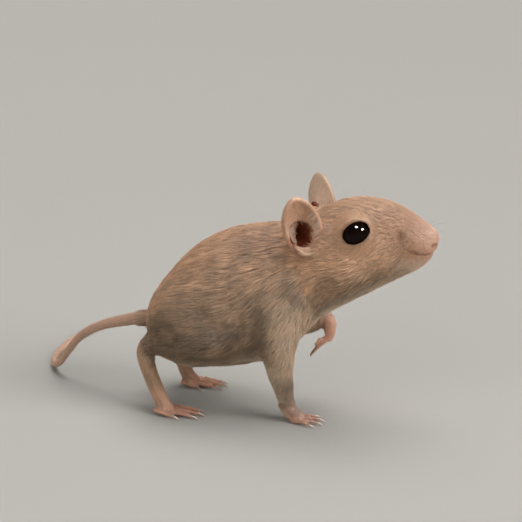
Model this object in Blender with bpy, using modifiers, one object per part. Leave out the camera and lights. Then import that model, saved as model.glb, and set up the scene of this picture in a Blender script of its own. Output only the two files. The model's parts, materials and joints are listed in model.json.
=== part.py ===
"""A young gerbil, life size, standing on three feet with its left forepaw lifted.

The animal faces +X, its left side is +Y and the floor is the plane Z = 0. The sizes below are
millimetres, and SCALE turns them into metres where points are made. The flesh is modelled whole,
as lofts and tubes that are joined and smoothed, and is then parted with thin cuts into the
pieces that a person would name.
"""

import math

import bmesh
import bpy
import numpy as np
from mathutils import Matrix, Vector

SCALE = 0.001
GAP = 0.3
WELD = 0.001
RIGHT, LEFT = -1, 1

# The trunk and head, as upright slices from rump to nose:
# x, top, bottom, half width, and how high up the slice is widest.
TRUNK = (
    (-16.7, 21.0, 17.8, 1.6, 0.50),
    (-15.6, 24.6, 14.2, 5.2, 0.45),
    (-13.2, 28.4, 11.8, 8.8, 0.42),
    (-10.0, 32.4, 10.6, 11.6, 0.40),
    (-5.0, 37.6, 9.8, 13.6, 0.40),
    (1.0, 41.3, 9.6, 14.2, 0.40),
    (8.0, 43.5, 10.6, 13.6, 0.40),
    (14.0, 44.2, 12.6, 12.4, 0.42),
    (19.5, 45.4, 16.6, 10.6, 0.43),
    (22.2, 46.7, 19.4, 9.8, 0.43),
    (24.5, 48.2, 22.2, 9.4, 0.44),
    (29.0, 50.4, 25.5, 9.6, 0.47),
    (33.5, 51.1, 28.0, 8.8, 0.50),
    (38.0, 50.9, 30.5, 6.9, 0.50),
    (42.2, 49.6, 32.9, 5.1, 0.50),
    (46.0, 47.3, 34.9, 3.9, 0.52),
    (48.6, 45.4, 37.3, 3.0, 0.56),
    (50.2, 44.3, 40.1, 1.8, 0.50),
)
TRUNK_SLICES = 64
TRUNK_SIDES = 40
ROUNDNESS = 2.15

# How a tube's ends are rounded: how far beyond its end, and how wide, in radii.
TUBE_ROUNDING = ((0.35, 0.80), (0.55, 0.45))

# Soft masses under the coat: centre, half sizes, and pitch in degrees. Each is made on both sides.
MASSES = {
    "haunch": ((-3.2, 8.4, 21.5), (10.8, 6.8, 10.6), 38),
    "shoulder": ((16.0, 7.6, 24.5), (6.6, 4.8, 9.0), 15),
    "cheek": ((29.6, 4.8, 35.4), (6.6, 5.0, 6.4), -25),
    "orbit": ((33.0, 4.2, 43.8), (5.6, 5.0, 5.2), 0),
    "ear_base": ((20.8, 5.2, 43.6), (3.2, 2.9, 4.4), 0),
    "whisker_pad": ((45.3, 2.4, 41.7), (3.4, 2.9, 2.8), -8),
    "lower_lip": ((45.4, 1.5, 38.0), (2.7, 1.9, 1.5), -8),
}
NOSE_PAD = ((49.2, 0.0, 42.7), (1.75, 2.0, 1.95), 0)

# Limb tubes: x, distance from the mid plane, z, radius.
RIGHT_FORELEG = (
    (17.8, 4.6, 30.0, 4.6),
    (17.2, 7.0, 23.0, 5.0),
    (16.7, 7.9, 16.8, 4.3),
    (17.0, 7.5, 11.6, 3.3),
    (17.6, 7.1, 8.2, 2.6),
    (18.1, 6.8, 5.0, 2.15),
    (18.8, 6.8, 2.6, 2.0),
)
LEFT_FORELEG = (
    (18.2, 4.6, 30.0, 4.6),
    (17.0, 7.4, 23.6, 4.9),
    (17.4, 8.4, 18.9, 3.7),
    (20.2, 7.7, 18.6, 2.8),
    (23.4, 6.9, 20.2, 2.25),
    (25.0, 6.5, 20.4, 2.0),
)
HIND_LEG = (
    (-5.0, 8.0, 23.5, 6.5),
    (2.0, 9.8, 19.6, 5.6),
    (-2.0, 10.6, 17.8, 4.9),
    (-7.5, 10.5, 16.6, 3.5),
    (-12.0, 10.0, 16.2, 2.4),
    (-14.6, 9.5, 16.0, 1.9),
)
TAIL = (
    (-13.5, 0.0, 19.3, 2.05),
    (-17.5, 0.0, 19.2, 1.75),
    (-22.5, 0.2, 18.1, 1.55),
    (-29.0, 1.6, 15.9, 1.3),
    (-35.0, 3.5, 12.4, 1.15),
    (-39.4, 5.6, 7.4, 1.05),
    (-43.2, 8.2, 3.0, 1.0),
    (-46.8, 12.8, 1.0, 1.0),
    (-49.0, 19.8, 0.92, 1.0),
    (-49.6, 28.0, 0.92, 1.05),
    (-48.8, 36.5, 0.95, 1.1),
    (-47.6, 42.3, 0.9, 1.0),
    (-47.2, 44.4, 0.75, 0.6),
)

# Thin cuts: a point, and the way towards what is cut off.
NAPE = ((16.4, 0.0, 32.5), (0.84, 0.0, 0.54))
OCCIPUT = ((22.4, 0.0, 34.0), (0.96, 0.0, 0.28))
TAIL_CUTS = (((-35.0, 3.5, 12.4), (-0.74, 0.29, -0.6)), ((-49.0, 19.8, 0.92), (-0.18, 0.98, 0.0)))
WRISTS = {RIGHT: ((18.1, -6.8, 5.0), (0.18, 0.0, -0.98)), LEFT: ((23.4, 6.9, 20.2), (0.92, -0.2, 0.3))}
ANKLE = (-11.8, 10.0, 15.9)
# Length and radius of the pegs that make those two cuts, and of the one that trims a paw's stub.
WRIST_PEG = (7.0, 3.2)
ANKLE_PEG = (7.0, 2.7)
STUB_PEG = (8.0, 4.5)
RIGHT_FORELEG_REGION = ((19.0, 11.0, 31.0, 4.0), (17.5, 11.0, 25.5, 7.4), (16.8, 10.5, 18.0, 7.6),
                        (16.8, 9.0, 11.0, 7.0), (17.6, 7.5, 4.0, 6.0), (18.5, 6.5, -2.0, 5.0))
LEFT_FORELEG_OVALS = (((18.0, 11.5, 24.0), (7.4, 7.4, 8.8)), ((22.0, 9.0, 18.6), (7.0, 5.6, 5.4)))
HIND_REGION_CENTRE = (-4.8, 14.0, 20.0)
HIND_REGION_HALF_SIZES = (13.4, 9.8, 12.4)
HIND_REGION_PITCH = 12

# Paws.
RIGHT_PALM = ((17.7, 7.1, 8.0, 2.5), (18.1, 6.8, 5.2, 2.05), (18.7, 6.8, 3.0, 1.9), (20.0, 6.8, 1.6, 1.75),
              (21.4, 6.8, 1.1, 1.45))
LEFT_PALM = ((21.6, 7.3, 19.8, 2.1), (23.6, 6.9, 20.4, 2.05), (24.9, 6.6, 19.4, 1.85), (24.9, 6.5, 17.6, 1.75),
             (24.5, 6.5, 15.8, 1.65))
PALM_FRONT = (21.2, 6.8, 0.44)
HANGING_FRONT = (24.2, 6.5, 15.0)
HANGING_WAY = (-0.77, -0.64)
HANGING_CURL = 0.4
HANGING_LENGTH = 3.3
THUMBS = {RIGHT: ((19.4, -5.1, 1.5), (0.8, 0.5, -0.5)), LEFT: ((23.7, 4.9, 16.8), (-0.5, -0.4, -0.75))}
SOLE = ((-10.0, 10.5, 16.3, 2.6), (-12.6, 9.9, 16.2, 2.2), (-14.05, 9.6, 14.4, 1.95), (-13.4, 9.5, 10.4, 1.85),
        (-11.7, 9.5, 5.9, 1.75), (-10.2, 9.5, 2.4, 1.75), (-8.6, 9.5, 1.1, 1.55))
SOLE_FRONT = (-9.0, 9.5)
TOE_SPACING = 0.98
TOE_SPREAD = 0.17
TOE_HEIGHT = 0.53
TOE_ARCH = 0.3
TOE_SETBACK = 0.3
OUTER_TOE_HEIGHT = 1.0
OUTER_TOE_BACK = 1.8
FINGER_COUNT = 4
FINGER_LENGTH = 4.6
FINGER_RADIUS = 0.53
FINGER_SPACING = 1.02
FINGER_FANS = {RIGHT: 0.24, LEFT: 0.16}
FINGER_SETBACK = 0.25
FINGER_ARCH = 0.3
OUTER_FINGER_SHORTER = 0.07
THUMB_LENGTH = 1.6
THUMB_RADIUS = 0.5
TOE_LENGTHS = (4.2, 6.9, 7.4, 7.0, 4.6)
TOE_RADIUS = 0.66
OUTER_TOE_RADIUS = 0.58
# A digit's width along its length, in radii: it swells at the knuckle and at the tip's pad.
DIGIT_WIDTHS = ((-0.2, 1.0), (0.15, 1.08), (0.45, 0.95), (0.75, 0.98), (1.0, 0.7))
CLAW_LENGTH = 1.5
CLAW_ROOT = 0.3
CLAW_DROOP = 0.4
CLAW_BOW = 0.12
# A claw's width at its root and middle in the digit's radii, and at its tip in millimetres.
CLAW_WIDTHS = (0.58, 0.42)
CLAW_MIDDLE = 0.55
CLAW_TIP = 0.07

# Head details.
EYE_CENTRE = (33.2, 6.3, 44.1)
EYE_AXIS = (0.22, 0.94, 0.24)
EYE_RADIUS = 3.1
LID_PLANE = 0.4
LID_HALF_SIZES = (2.95, 2.3)
LID_TILT = 28
LID_THICKNESS = 0.42
MOUTH = ((49.2, 0.0, 39.4), (48.0, 1.8, 39.3), (45.6, 3.4, 39.8), (44.0, 4.5, 40.3), (42.7, 5.3, 40.1),
         (41.2, 6.1, 39.0))
MOUTH_WIDTH = 0.5
# The fold behind the whisker pad, from the bridge of the nose down to the corner of the mouth.
PAD_FOLD = ((43.1, 4.0, 45.0), (42.7, 4.6, 43.6), (42.6, 4.9, 42.2), (42.9, 5.0, 41.0))
PAD_FOLD_WIDTH = 0.5
NOSTRIL = (49.3, 1.25, 41.4)
NOSTRIL_SIZE = (0.9, 0.42, 0.5)
EAR_CENTRES = {RIGHT: (22.6, 10.3, 45.7), LEFT: (22.9, 10.3, 47.0)}
EAR_FACINGS = {RIGHT: (0.50, 0.85, 0.03), LEFT: (0.58, 0.80, 0.03)}
EAR_UP = (-0.16, 0.34, 0.93)
EAR_LENGTH = 13.6
EAR_WIDTH = 8.4
EAR_TAPER = 0.12
EAR_DEPTH = 2.4
EAR_PIT = -2.4
EAR_CURL = 0.5
EAR_BOWL = 2.2
EAR_PIT_FADE = 1.5
# The well at the bottom of the bowl, where the ear canal starts: how deep, and how wide as a share.
EAR_WELL = 1.3
EAR_WELL_SPREAD = 0.38
# The wall is thick at the rolled rim and thinner inside it.
EAR_RIM = 1.6
EAR_WALL_SHARE = 0.5
EAR_ROUNDING = 0.42
EAR_RINGS = 5
EAR_SIDES = 24

# Resolution of the smoothed flesh.
MASS_VOXEL = 0.8
MASS_SMOOTHING = 14
BODY_VOXEL = 0.5
BODY_SMOOTHING = 10
BODY_TRIANGLES = 3600
PAW_VOXEL = 0.2
PAW_SMOOTHING = 3
PAW_TRIANGLES = 430
# The exact solver leaves open edges where the claws meet the toes, and takes ten times as long.
SOLVER = "MANIFOLD"

# Colour and roughness.
COAT = ((0.42, 0.30, 0.23, 1.0), 0.85)
BARE_SKIN = ((0.55, 0.32, 0.26, 1.0), 0.55)
WET_EYE = ((0.015, 0.006, 0.005, 1.0), 0.08)
SURFACES = {"eye": WET_EYE, "ear": BARE_SKIN, "forepaw": BARE_SKIN, "hindfoot": BARE_SKIN}
SHARP_ANGLE = 50


def metres(point):
    return Vector(point) * SCALE


def finish(node, recipe):
    """Gives a node its own material from a recipe of colour and roughness, and smooth shading."""
    colour, roughness = recipe
    material = bpy.data.materials.new(node.name)
    material.use_nodes = True
    shader = material.node_tree.nodes["Principled BSDF"]
    shader.inputs["Base Color"].default_value = colour
    shader.inputs["Roughness"].default_value = roughness
    shader.inputs["Metallic"].default_value = 0.0
    node.data.materials.clear()
    node.data.materials.append(material)
    node.data.shade_smooth()
    node.data.set_sharp_from_angle(angle=math.radians(SHARP_ANGLE))


def spline(rows, count):
    """Catmull-Rom through rows of numbers, read at count even steps."""
    rows = np.array(rows, float)
    padded = np.vstack([2 * rows[0] - rows[1], rows, 2 * rows[-1] - rows[-2]])
    read = []
    for step in np.linspace(0, len(rows) - 1, count):
        first = min(int(step), len(rows) - 2)
        u = step - first
        a, b, c, d = padded[first:first + 4]
        read.append(0.5 * (2 * b + (c - a) * u + (2 * a - 5 * b + 4 * c - d) * u * u
                           + (3 * b - a - 3 * c + d) * u ** 3))
    return np.array(read)


def object_from(name, mesh):
    shape = bpy.data.objects.new(name, mesh)
    bpy.context.scene.collection.objects.link(shape)
    return shape


def face_outwards(body):
    """Turns the faces of a closed body outwards."""
    bmesh.ops.recalc_face_normals(body, faces=body.faces)
    if body.calc_volume(signed=True) < 0:
        bmesh.ops.reverse_faces(body, faces=body.faces)


def loft(name, rings, start, end):
    """A closed body through rings of points, with a point beyond each end ring."""
    sides = len(rings[0])
    body = bmesh.new()
    rows = [[body.verts.new(metres(p)) for p in ring] for ring in rings]
    for row, following in zip(rows, rows[1:]):
        for i in range(sides):
            j = (i + 1) % sides
            body.faces.new((row[i], row[j], following[j], following[i]))
    for row, tip in ((rows[0], start), (rows[-1], end)):
        point = body.verts.new(metres(tip))
        for i in range(sides):
            body.faces.new((row[i], row[(i + 1) % sides], point))
    face_outwards(body)
    mesh = bpy.data.meshes.new(name)
    body.to_mesh(mesh)
    body.free()
    return object_from(name, mesh)


def slice_ring(x, top, bottom, half_width, widest):
    """One upright slice of the trunk, a superellipse that may be widest below its middle."""
    middle = bottom + (top - bottom) * widest
    ring = []
    for i in range(TRUNK_SIDES):
        angle = math.tau * i / TRUNK_SIDES
        across = math.copysign(abs(math.cos(angle)) ** (2 / ROUNDNESS), math.cos(angle))
        up = math.copysign(abs(math.sin(angle)) ** (2 / ROUNDNESS), math.sin(angle))
        height = top - middle if up > 0 else middle - bottom
        ring.append((x, half_width * across, middle + height * up))
    return ring


def trunk():
    slices = spline(TRUNK, TRUNK_SLICES)
    rings = [slice_ring(*row) for row in slices]
    ends = []
    for row, reach in ((slices[0], -0.3), (slices[-1], 0.35)):
        x, top, bottom, _, _ = row
        ends.append((x + reach, 0.0, (top + bottom) / 2))
    return loft("trunk", rings, *ends)


def tube(name, rows, resolution=4, steps=5, grow=0.0):
    """A closed tube along rows of x, y, z and radius, with rounded ends."""
    path = spline(rows, (len(rows) - 1) * steps + 1)
    stations = [(Vector(row[:3]), float(row[3]) + grow) for row in path]
    for end, inner in ((stations[0], stations[1]), (stations[-1], stations[-2])):
        ahead = (end[0] - inner[0]).normalized()
        rounding = [(end[0] + ahead * end[1] * reach, end[1] * width) for reach, width in TUBE_ROUNDING]
        stations = rounding[::-1] + stations if end is stations[0] else stations + rounding
    curve = bpy.data.curves.new(name, "CURVE")
    curve.dimensions = "3D"
    curve.bevel_depth = SCALE
    curve.bevel_resolution = resolution
    curve.use_fill_caps = True
    line = curve.splines.new("POLY")
    line.points.add(len(stations) - 1)
    for point, (place, radius) in zip(line.points, stations):
        point.co = (*metres(place), 1.0)
        point.radius = radius
    wire = object_from(name, curve)
    graph = bpy.context.evaluated_depsgraph_get()
    mesh = bpy.data.meshes.new_from_object(wire.evaluated_get(graph))
    remove([wire])
    return weld(object_from(name, mesh))


def weld(shape):
    """Joins the loose caps of a tube to it and faces everything outwards."""
    body = bmesh.new()
    body.from_mesh(shape.data)
    bmesh.ops.remove_doubles(body, verts=body.verts, dist=WELD * SCALE)
    face_outwards(body)
    body.to_mesh(shape.data)
    body.free()
    return shape


def mirrored(rows, side):
    """Rows of x, distance from the mid plane and so on, set on one side."""
    return [(row[0], row[1] * side) + tuple(row[2:]) for row in rows]


def ellipsoid(name, centre, half_sizes, pitch=0.0, yaw=0.0, segments=24, rings=14):
    mesh = bpy.data.meshes.new(name)
    body = bmesh.new()
    bmesh.ops.create_uvsphere(body, u_segments=segments, v_segments=rings, radius=1.0)
    size = Matrix.Diagonal(Vector(half_sizes) * SCALE).to_4x4()
    turn = Matrix.Rotation(math.radians(yaw), 4, "Z") @ Matrix.Rotation(math.radians(pitch), 4, "Y")
    body.transform(Matrix.Translation(metres(centre)) @ turn @ size)
    face_outwards(body)
    body.to_mesh(mesh)
    body.free()
    return object_from(name, mesh)


def peg(name, point, direction, length, radius):
    """A round bar that starts at a point and runs along a direction."""
    mesh = bpy.data.meshes.new(name)
    body = bmesh.new()
    bmesh.ops.create_cone(body, cap_ends=True, segments=20, radius1=radius, radius2=radius, depth=length)
    ahead = Vector(direction).normalized()
    turn = ahead.to_track_quat("Z", "Y").to_matrix().to_4x4()
    body.transform(Matrix.Scale(SCALE, 4) @ Matrix.Translation(Vector(point) + ahead * length / 2) @ turn)
    face_outwards(body)
    body.to_mesh(mesh)
    body.free()
    return object_from(name, mesh)


def settle(shape):
    """Applies every modifier of a shape."""
    graph = bpy.context.evaluated_depsgraph_get()
    mesh = bpy.data.meshes.new_from_object(shape.evaluated_get(graph))
    shape.modifiers.clear()
    shape.data = mesh
    return shape


def remove(shapes):
    for shape in shapes:
        bpy.data.objects.remove(shape, do_unlink=True)


def combine(shape, others, operation):
    """One Boolean of a shape with a collection of closed shapes, which are then removed."""
    helpers = bpy.data.collections.new("helpers")
    for other in others:
        helpers.objects.link(other)
    change = shape.modifiers.new("combine", "BOOLEAN")
    change.operation = operation
    change.operand_type = "COLLECTION"
    change.collection = helpers
    change.solver = SOLVER
    settle(shape)
    bpy.data.collections.remove(helpers)
    remove(others)
    return shape


def copy_of(shape, name):
    return object_from(name, shape.data.copy())


def keep_largest(shape):
    """Drops every loose scrap but the largest closed surface."""
    body = bmesh.new()
    body.from_mesh(shape.data)
    left = set(body.verts)
    islands = []
    while left:
        queue = [left.pop()]
        island = set(queue)
        while queue:
            for edge in queue.pop().link_edges:
                for vertex in edge.verts:
                    if vertex in left:
                        left.remove(vertex)
                        island.add(vertex)
                        queue.append(vertex)
        islands.append(island)
    islands.sort(key=len)
    for island in islands[:-1]:
        bmesh.ops.delete(body, geom=list(island), context="VERTS")
    body.to_mesh(shape.data)
    body.free()
    return shape


def melt(shape, voxel, smoothing):
    """Melts joined shapes into one skin and evens it out."""
    remesh = shape.modifiers.new("melt", "REMESH")
    remesh.mode = "VOXEL"
    remesh.voxel_size = voxel * SCALE
    even = shape.modifiers.new("even", "SMOOTH")
    even.factor = 0.5
    even.iterations = smoothing
    return keep_largest(settle(shape))


def thin(shape, triangles):
    """Leaves about this many triangles."""
    count = sum(len(face.vertices) - 2 for face in shape.data.polygons)
    change = shape.modifiers.new("thin", "DECIMATE")
    change.ratio = min(1.0, triangles / count)
    return keep_largest(settle(shape))


def halve(shape, point, normal):
    """Cuts off what lies on the side that the normal points to, and closes the cut."""
    body = bmesh.new()
    body.from_mesh(shape.data)
    geometry = body.verts[:] + body.edges[:] + body.faces[:]
    cut = bmesh.ops.bisect_plane(body, geom=geometry, dist=1e-7, plane_co=metres(point),
                                 plane_no=Vector(normal), clear_outer=True)
    edges = [item for item in cut["geom_cut"] if isinstance(item, bmesh.types.BMEdge)]
    bmesh.ops.holes_fill(body, edges=edges, sides=0)
    bmesh.ops.triangulate(body, faces=[face for face in body.faces if len(face.verts) > 4])
    face_outwards(body)
    body.to_mesh(shape.data)
    body.free()
    return shape


def flesh():
    """The whole animal but for its ears, eyes, paws and tail."""
    masses = [ellipsoid("nose_pad", *NOSE_PAD)]
    for name, (centre, sizes, pitch) in MASSES.items():
        for side in (RIGHT, LEFT):
            x, y, z = centre
            masses.append(ellipsoid(name, (x, y * side, z), sizes, pitch))
    body = combine(trunk(), masses, "UNION")
    melt(body, MASS_VOXEL, MASS_SMOOTHING)
    legs = [tube("foreleg", mirrored(RIGHT_FORELEG, RIGHT)), tube("foreleg", mirrored(LEFT_FORELEG, LEFT))]
    legs += [tube("hind_leg", mirrored(HIND_LEG, side)) for side in (RIGHT, LEFT)]
    combine(body, legs, "UNION")
    melt(body, BODY_VOXEL, BODY_SMOOTHING)
    return thin(body, BODY_TRIANGLES)


def foreleg_region(side, grow):
    """What belongs to a foreleg: a fat tube, or ovals where it is bent, sunk into the flank."""
    if side == RIGHT:
        return tube("region", mirrored(RIGHT_FORELEG_REGION, side), resolution=5, steps=3, grow=grow)
    ovals = []
    for (x, y, z), sizes in LEFT_FORELEG_OVALS:
        sizes = [half + grow for half in sizes]
        ovals.append(ellipsoid("region", (x, y * side, z), sizes, segments=16, rings=10))
    return combine(ovals[0], ovals[1:], "UNION")


def hind_leg_region(side, grow):
    """What belongs to a hind leg: an oval on the flank from hip to heel."""
    x, y, z = HIND_REGION_CENTRE
    sizes = [half + grow for half in HIND_REGION_HALF_SIZES]
    return ellipsoid("region", (x, y * side, z), sizes, HIND_REGION_PITCH, segments=20, rings=12)


def limbs_from(whole):
    """Cuts the four legs out of the whole, each down to its wrist or ankle."""
    nodes = []
    for side, word in ((RIGHT, "right"), (LEFT, "left")):
        foreleg = combine(copy_of(whole, "foreleg_" + word), [foreleg_region(side, -GAP)], "INTERSECT")
        point, direction = WRISTS[side]
        nodes.append(combine(foreleg, [peg("wrist", point, direction, *WRIST_PEG)], "DIFFERENCE"))
        hind = combine(copy_of(whole, "hindleg_" + word), [hind_leg_region(side, -GAP)], "INTERSECT")
        point, direction = ankle(side)
        nodes.append(combine(hind, [peg("ankle", point, direction, *ANKLE_PEG)], "DIFFERENCE"))
    return nodes


def ankle(side):
    return (ANKLE[0], ANKLE[1] * side, ANKLE[2]), (-1, 0, 0)


def shifted(point, direction, distance):
    return tuple(Vector(point) + Vector(direction).normalized() * distance)


def trunk_nodes(whole):
    """Parts what the legs leave into torso, neck and head."""
    regions = []
    for side in (RIGHT, LEFT):
        regions += [foreleg_region(side, 0.0), hind_leg_region(side, 0.0)]
    rest = keep_largest(combine(copy_of(whole, "rest"), regions, "DIFFERENCE"))
    torso = halve(copy_of(rest, "torso"), *NAPE)
    neck = halve(copy_of(rest, "neck"), *OCCIPUT)
    halve(neck, shifted(*NAPE, GAP), -Vector(NAPE[1]))
    head = halve(copy_of(rest, "head"), shifted(*OCCIPUT, GAP), -Vector(OCCIPUT[1]))
    remove([rest])
    return [torso, neck, head]


def tail_nodes(torso):
    """The tail in three lengths. Its root is cut clear of the rump, and it lies on small flats."""
    lengths = []
    for i, name in enumerate(("tail_root", "tail_middle", "tail_end")):
        piece = tube(name, TAIL, resolution=3, steps=3)
        if i > 0:
            point, direction = TAIL_CUTS[i - 1]
            halve(piece, shifted(point, direction, GAP), -Vector(direction))
        if i < len(TAIL_CUTS):
            halve(piece, *TAIL_CUTS[i])
        halve(piece, (0, 0, 0), (0, 0, -1))
        if i == 0:
            combine(piece, [grown(torso, GAP)], "DIFFERENCE")
        lengths.append(keep_largest(piece))
    return lengths


def on_surface(shape, point):
    """The point of a shape's surface that is nearest to this one, in millimetres."""
    found, place, _, _ = shape.closest_point_on_mesh(metres(point))
    return place / SCALE


def eye_axis(side):
    return Vector((EYE_AXIS[0], EYE_AXIS[1] * side, EYE_AXIS[2])).normalized()


def eye_centre(side):
    return Vector((EYE_CENTRE[0], EYE_CENTRE[1] * side, EYE_CENTRE[2]))


def ball(name, centre, radius, segments=24, rings=14):
    return ellipsoid(name, centre, (radius,) * 3, segments=segments, rings=rings)


def eye_opening(side):
    """A cutter for the slit between the lids: an oval bar along the eye's axis."""
    mesh = bpy.data.meshes.new("opening")
    body = bmesh.new()
    bmesh.ops.create_cone(body, cap_ends=True, segments=28, radius1=1.0, radius2=1.15, depth=1.0)
    axis = eye_axis(side)
    forward = (Vector((1, 0, 0)) - axis * axis.x).normalized()
    up = axis.cross(forward) if side == RIGHT else forward.cross(axis)
    tilt = math.radians(LID_TILT)
    long_way = forward * math.cos(tilt) + up * math.sin(tilt)
    short_way = axis.cross(long_way)
    reach = EYE_RADIUS * 2
    size = Matrix.Diagonal(Vector((LID_HALF_SIZES[0], LID_HALF_SIZES[1], reach)) * SCALE).to_4x4()
    turn = Matrix((long_way, short_way, axis)).transposed().to_4x4()
    place = Matrix.Translation(metres(eye_centre(side) + axis * (reach / 2 + LID_PLANE)))
    body.transform(place @ turn @ size)
    face_outwards(body)
    body.to_mesh(mesh)
    body.free()
    return object_from("opening", mesh)


def groove(name, shape, line, width):
    """A thin cutter that follows the shape's surface near a line of points."""
    path = [tuple(on_surface(shape, point)) + (width / 2,) for point in line]
    return tube(name, path, resolution=1, steps=2)


def finish_head(head):
    """Adds the lids, and cuts the eye sockets, the mouth line, the pads' folds and the nostrils."""
    lids = [ball("lid", eye_centre(side), EYE_RADIUS + GAP + LID_THICKNESS) for side in (RIGHT, LEFT)]
    combine(head, lids, "UNION")
    cutters = []
    for side in (RIGHT, LEFT):
        cutters.append(eye_opening(side))
        nostril = on_surface(head, (NOSTRIL[0], NOSTRIL[1] * side, NOSTRIL[2]))
        cutters.append(ellipsoid("nostril", nostril, NOSTRIL_SIZE, 25, -20 * side, 12, 8))
        cutters.append(groove("pad_fold", head, mirrored(PAD_FOLD, side), PAD_FOLD_WIDTH))
    cutters.append(groove("mouth", head, mirrored(MOUTH[:0:-1], RIGHT) + mirrored(MOUTH, LEFT), MOUTH_WIDTH))
    combine(head, cutters, "DIFFERENCE")
    sockets = [ball("socket", eye_centre(side), EYE_RADIUS + GAP) for side in (RIGHT, LEFT)]
    combine(head, sockets, "DIFFERENCE")
    return keep_largest(head)


def grown(shape, distance):
    """A copy of a shape that is larger by this distance all over."""
    bigger = copy_of(shape, "grown")
    swell = bigger.modifiers.new("swell", "DISPLACE")
    swell.mid_level = 0.0
    swell.strength = distance * SCALE
    return settle(bigger)


def ear_dish(side):
    """The bowl of an ear as one open surface of rings, deepest low down. Returns it and its rim."""
    facing = Vector((EAR_FACINGS[side][0], EAR_FACINGS[side][1] * side, EAR_FACINGS[side][2])).normalized()
    up = Vector((EAR_UP[0], EAR_UP[1] * side, EAR_UP[2]))
    up = (up - facing * up.dot(facing)).normalized()
    across = up.cross(facing) * -side
    x, y, z = EAR_CENTRES[side]
    centre = Vector((x, y * side, z))
    body = bmesh.new()
    middle = body.verts.new(metres(centre + up * EAR_PIT - facing * (EAR_DEPTH + EAR_WELL)))
    rows = []
    for step in range(1, EAR_RINGS + 1):
        r = step / EAR_RINGS
        depth = EAR_DEPTH * (1 - r ** EAR_BOWL) + EAR_WELL * math.exp(-(r / EAR_WELL_SPREAD) ** 2)
        row = []
        for i in range(EAR_SIDES):
            angle = math.tau * i / EAR_SIDES
            lift = math.sin(angle)
            width = EAR_WIDTH / 2 * (1 - EAR_TAPER * max(lift, 0) ** 2)
            point = (centre + up * (EAR_PIT * (1 - r ** EAR_PIT_FADE) + EAR_LENGTH / 2 * r * lift)
                     + across * width * r * math.cos(angle)
                     - facing * (depth + EAR_CURL * r * math.cos(angle) ** 2))
            row.append(body.verts.new(metres(point)))
        rows.append(row)
    for i in range(EAR_SIDES):
        j = (i + 1) % EAR_SIDES
        body.faces.new((middle, rows[0][i], rows[0][j]))
        for row, following in zip(rows, rows[1:]):
            body.faces.new((row[i], following[i], following[j], row[j]))
    body.verts.index_update()
    rim = [vertex.index for vertex in rows[-1]]
    mesh = bpy.data.meshes.new("dish")
    body.to_mesh(mesh)
    body.free()
    return mesh, rim


def ear_hollow(side):
    """A cutter for the hollow in which an ear's bowl lies: the bowl closed at its rim and let out."""
    mesh, rim = ear_dish(side)
    body = bmesh.new()
    body.from_mesh(mesh)
    body.verts.ensure_lookup_table()
    body.faces.new([body.verts[index] for index in rim])
    bmesh.ops.recalc_face_normals(body, faces=body.faces)
    body.to_mesh(mesh)
    body.free()
    bowl = object_from("bowl", mesh)
    hollow = grown(bowl, EAR_RIM * EAR_WALL_SHARE / 2 + GAP)
    remove([bowl])
    return hollow


def ear(side, others):
    """The bowl with a wall and a thick rolled rim, its back sunk into the head and cut clear of it."""
    mesh, rim = ear_dish(side)
    shape = object_from("ear_right" if side == RIGHT else "ear_left", mesh)
    shape.vertex_groups.new(name="rim").add(rim, 1.0, "REPLACE")
    wall = shape.modifiers.new("wall", "SOLIDIFY")
    wall.thickness = EAR_RIM * SCALE
    wall.offset = 0.0
    wall.vertex_group = "rim"
    wall.thickness_vertex_group = EAR_WALL_SHARE
    rounding = shape.modifiers.new("rounding", "BEVEL")
    rounding.width = EAR_ROUNDING * SCALE
    rounding.segments = 2
    rounding.limit_method = "ANGLE"
    rounding.angle_limit = math.radians(SHARP_ANGLE)
    settle(shape)
    weld(shape)
    combine(shape, [grown(other, GAP) for other in others], "DIFFERENCE")
    return keep_largest(shape)


def digit(root, way, length, radius, arch, drop):
    """A finger or toe from its root, with its claw. Returns both shapes."""
    root, way = Vector(root), Vector(way).normalized()
    up = Vector((0, 0, 1)) if abs(way.z) < 0.7 else Vector((1, 0, 0))
    rows = []
    for share, width in DIGIT_WIDTHS:
        bend = arch * math.sin(math.pi * max(share, 0)) - drop * max(share, 0)
        rows.append(tuple(root + way * length * share + up * bend) + (radius * width,))
    tip = Vector(rows[-1][:3])
    claw_way = (way - up * CLAW_DROOP).normalized()
    claw = tube("claw", [
        tuple(tip - claw_way * CLAW_ROOT) + (radius * CLAW_WIDTHS[0],),
        tuple(tip + claw_way * CLAW_LENGTH * CLAW_MIDDLE + up * CLAW_BOW) + (radius * CLAW_WIDTHS[1],),
        tuple(tip + claw_way * CLAW_LENGTH) + (CLAW_TIP,),
    ], resolution=1, steps=1)
    return tube("digit", rows, resolution=2, steps=2), claw


def paw(name, palm, digits, cut, neighbours, on_floor):
    """A paw: its palm and digits melted together, its claws, and the cuts at the leg and floor."""
    flesh_pieces, claws = [], []
    for spec in digits:
        finger, claw = digit(*spec)
        flesh_pieces.append(finger)
        claws.append(claw)
    shape = tube(name, palm, resolution=5)
    combine(shape, flesh_pieces, "UNION")
    melt(shape, PAW_VOXEL, PAW_SMOOTHING)
    thin(shape, PAW_TRIANGLES)
    combine(shape, claws, "UNION")
    point, direction = cut
    stub = peg("stub", shifted(point, direction, GAP), -Vector(direction), *STUB_PEG)
    combine(shape, [stub] + [grown(other, GAP) for other in neighbours], "DIFFERENCE")
    if on_floor:
        halve(shape, (0, 0, 0), (0, 0, -1))
    return keep_largest(shape)


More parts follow.
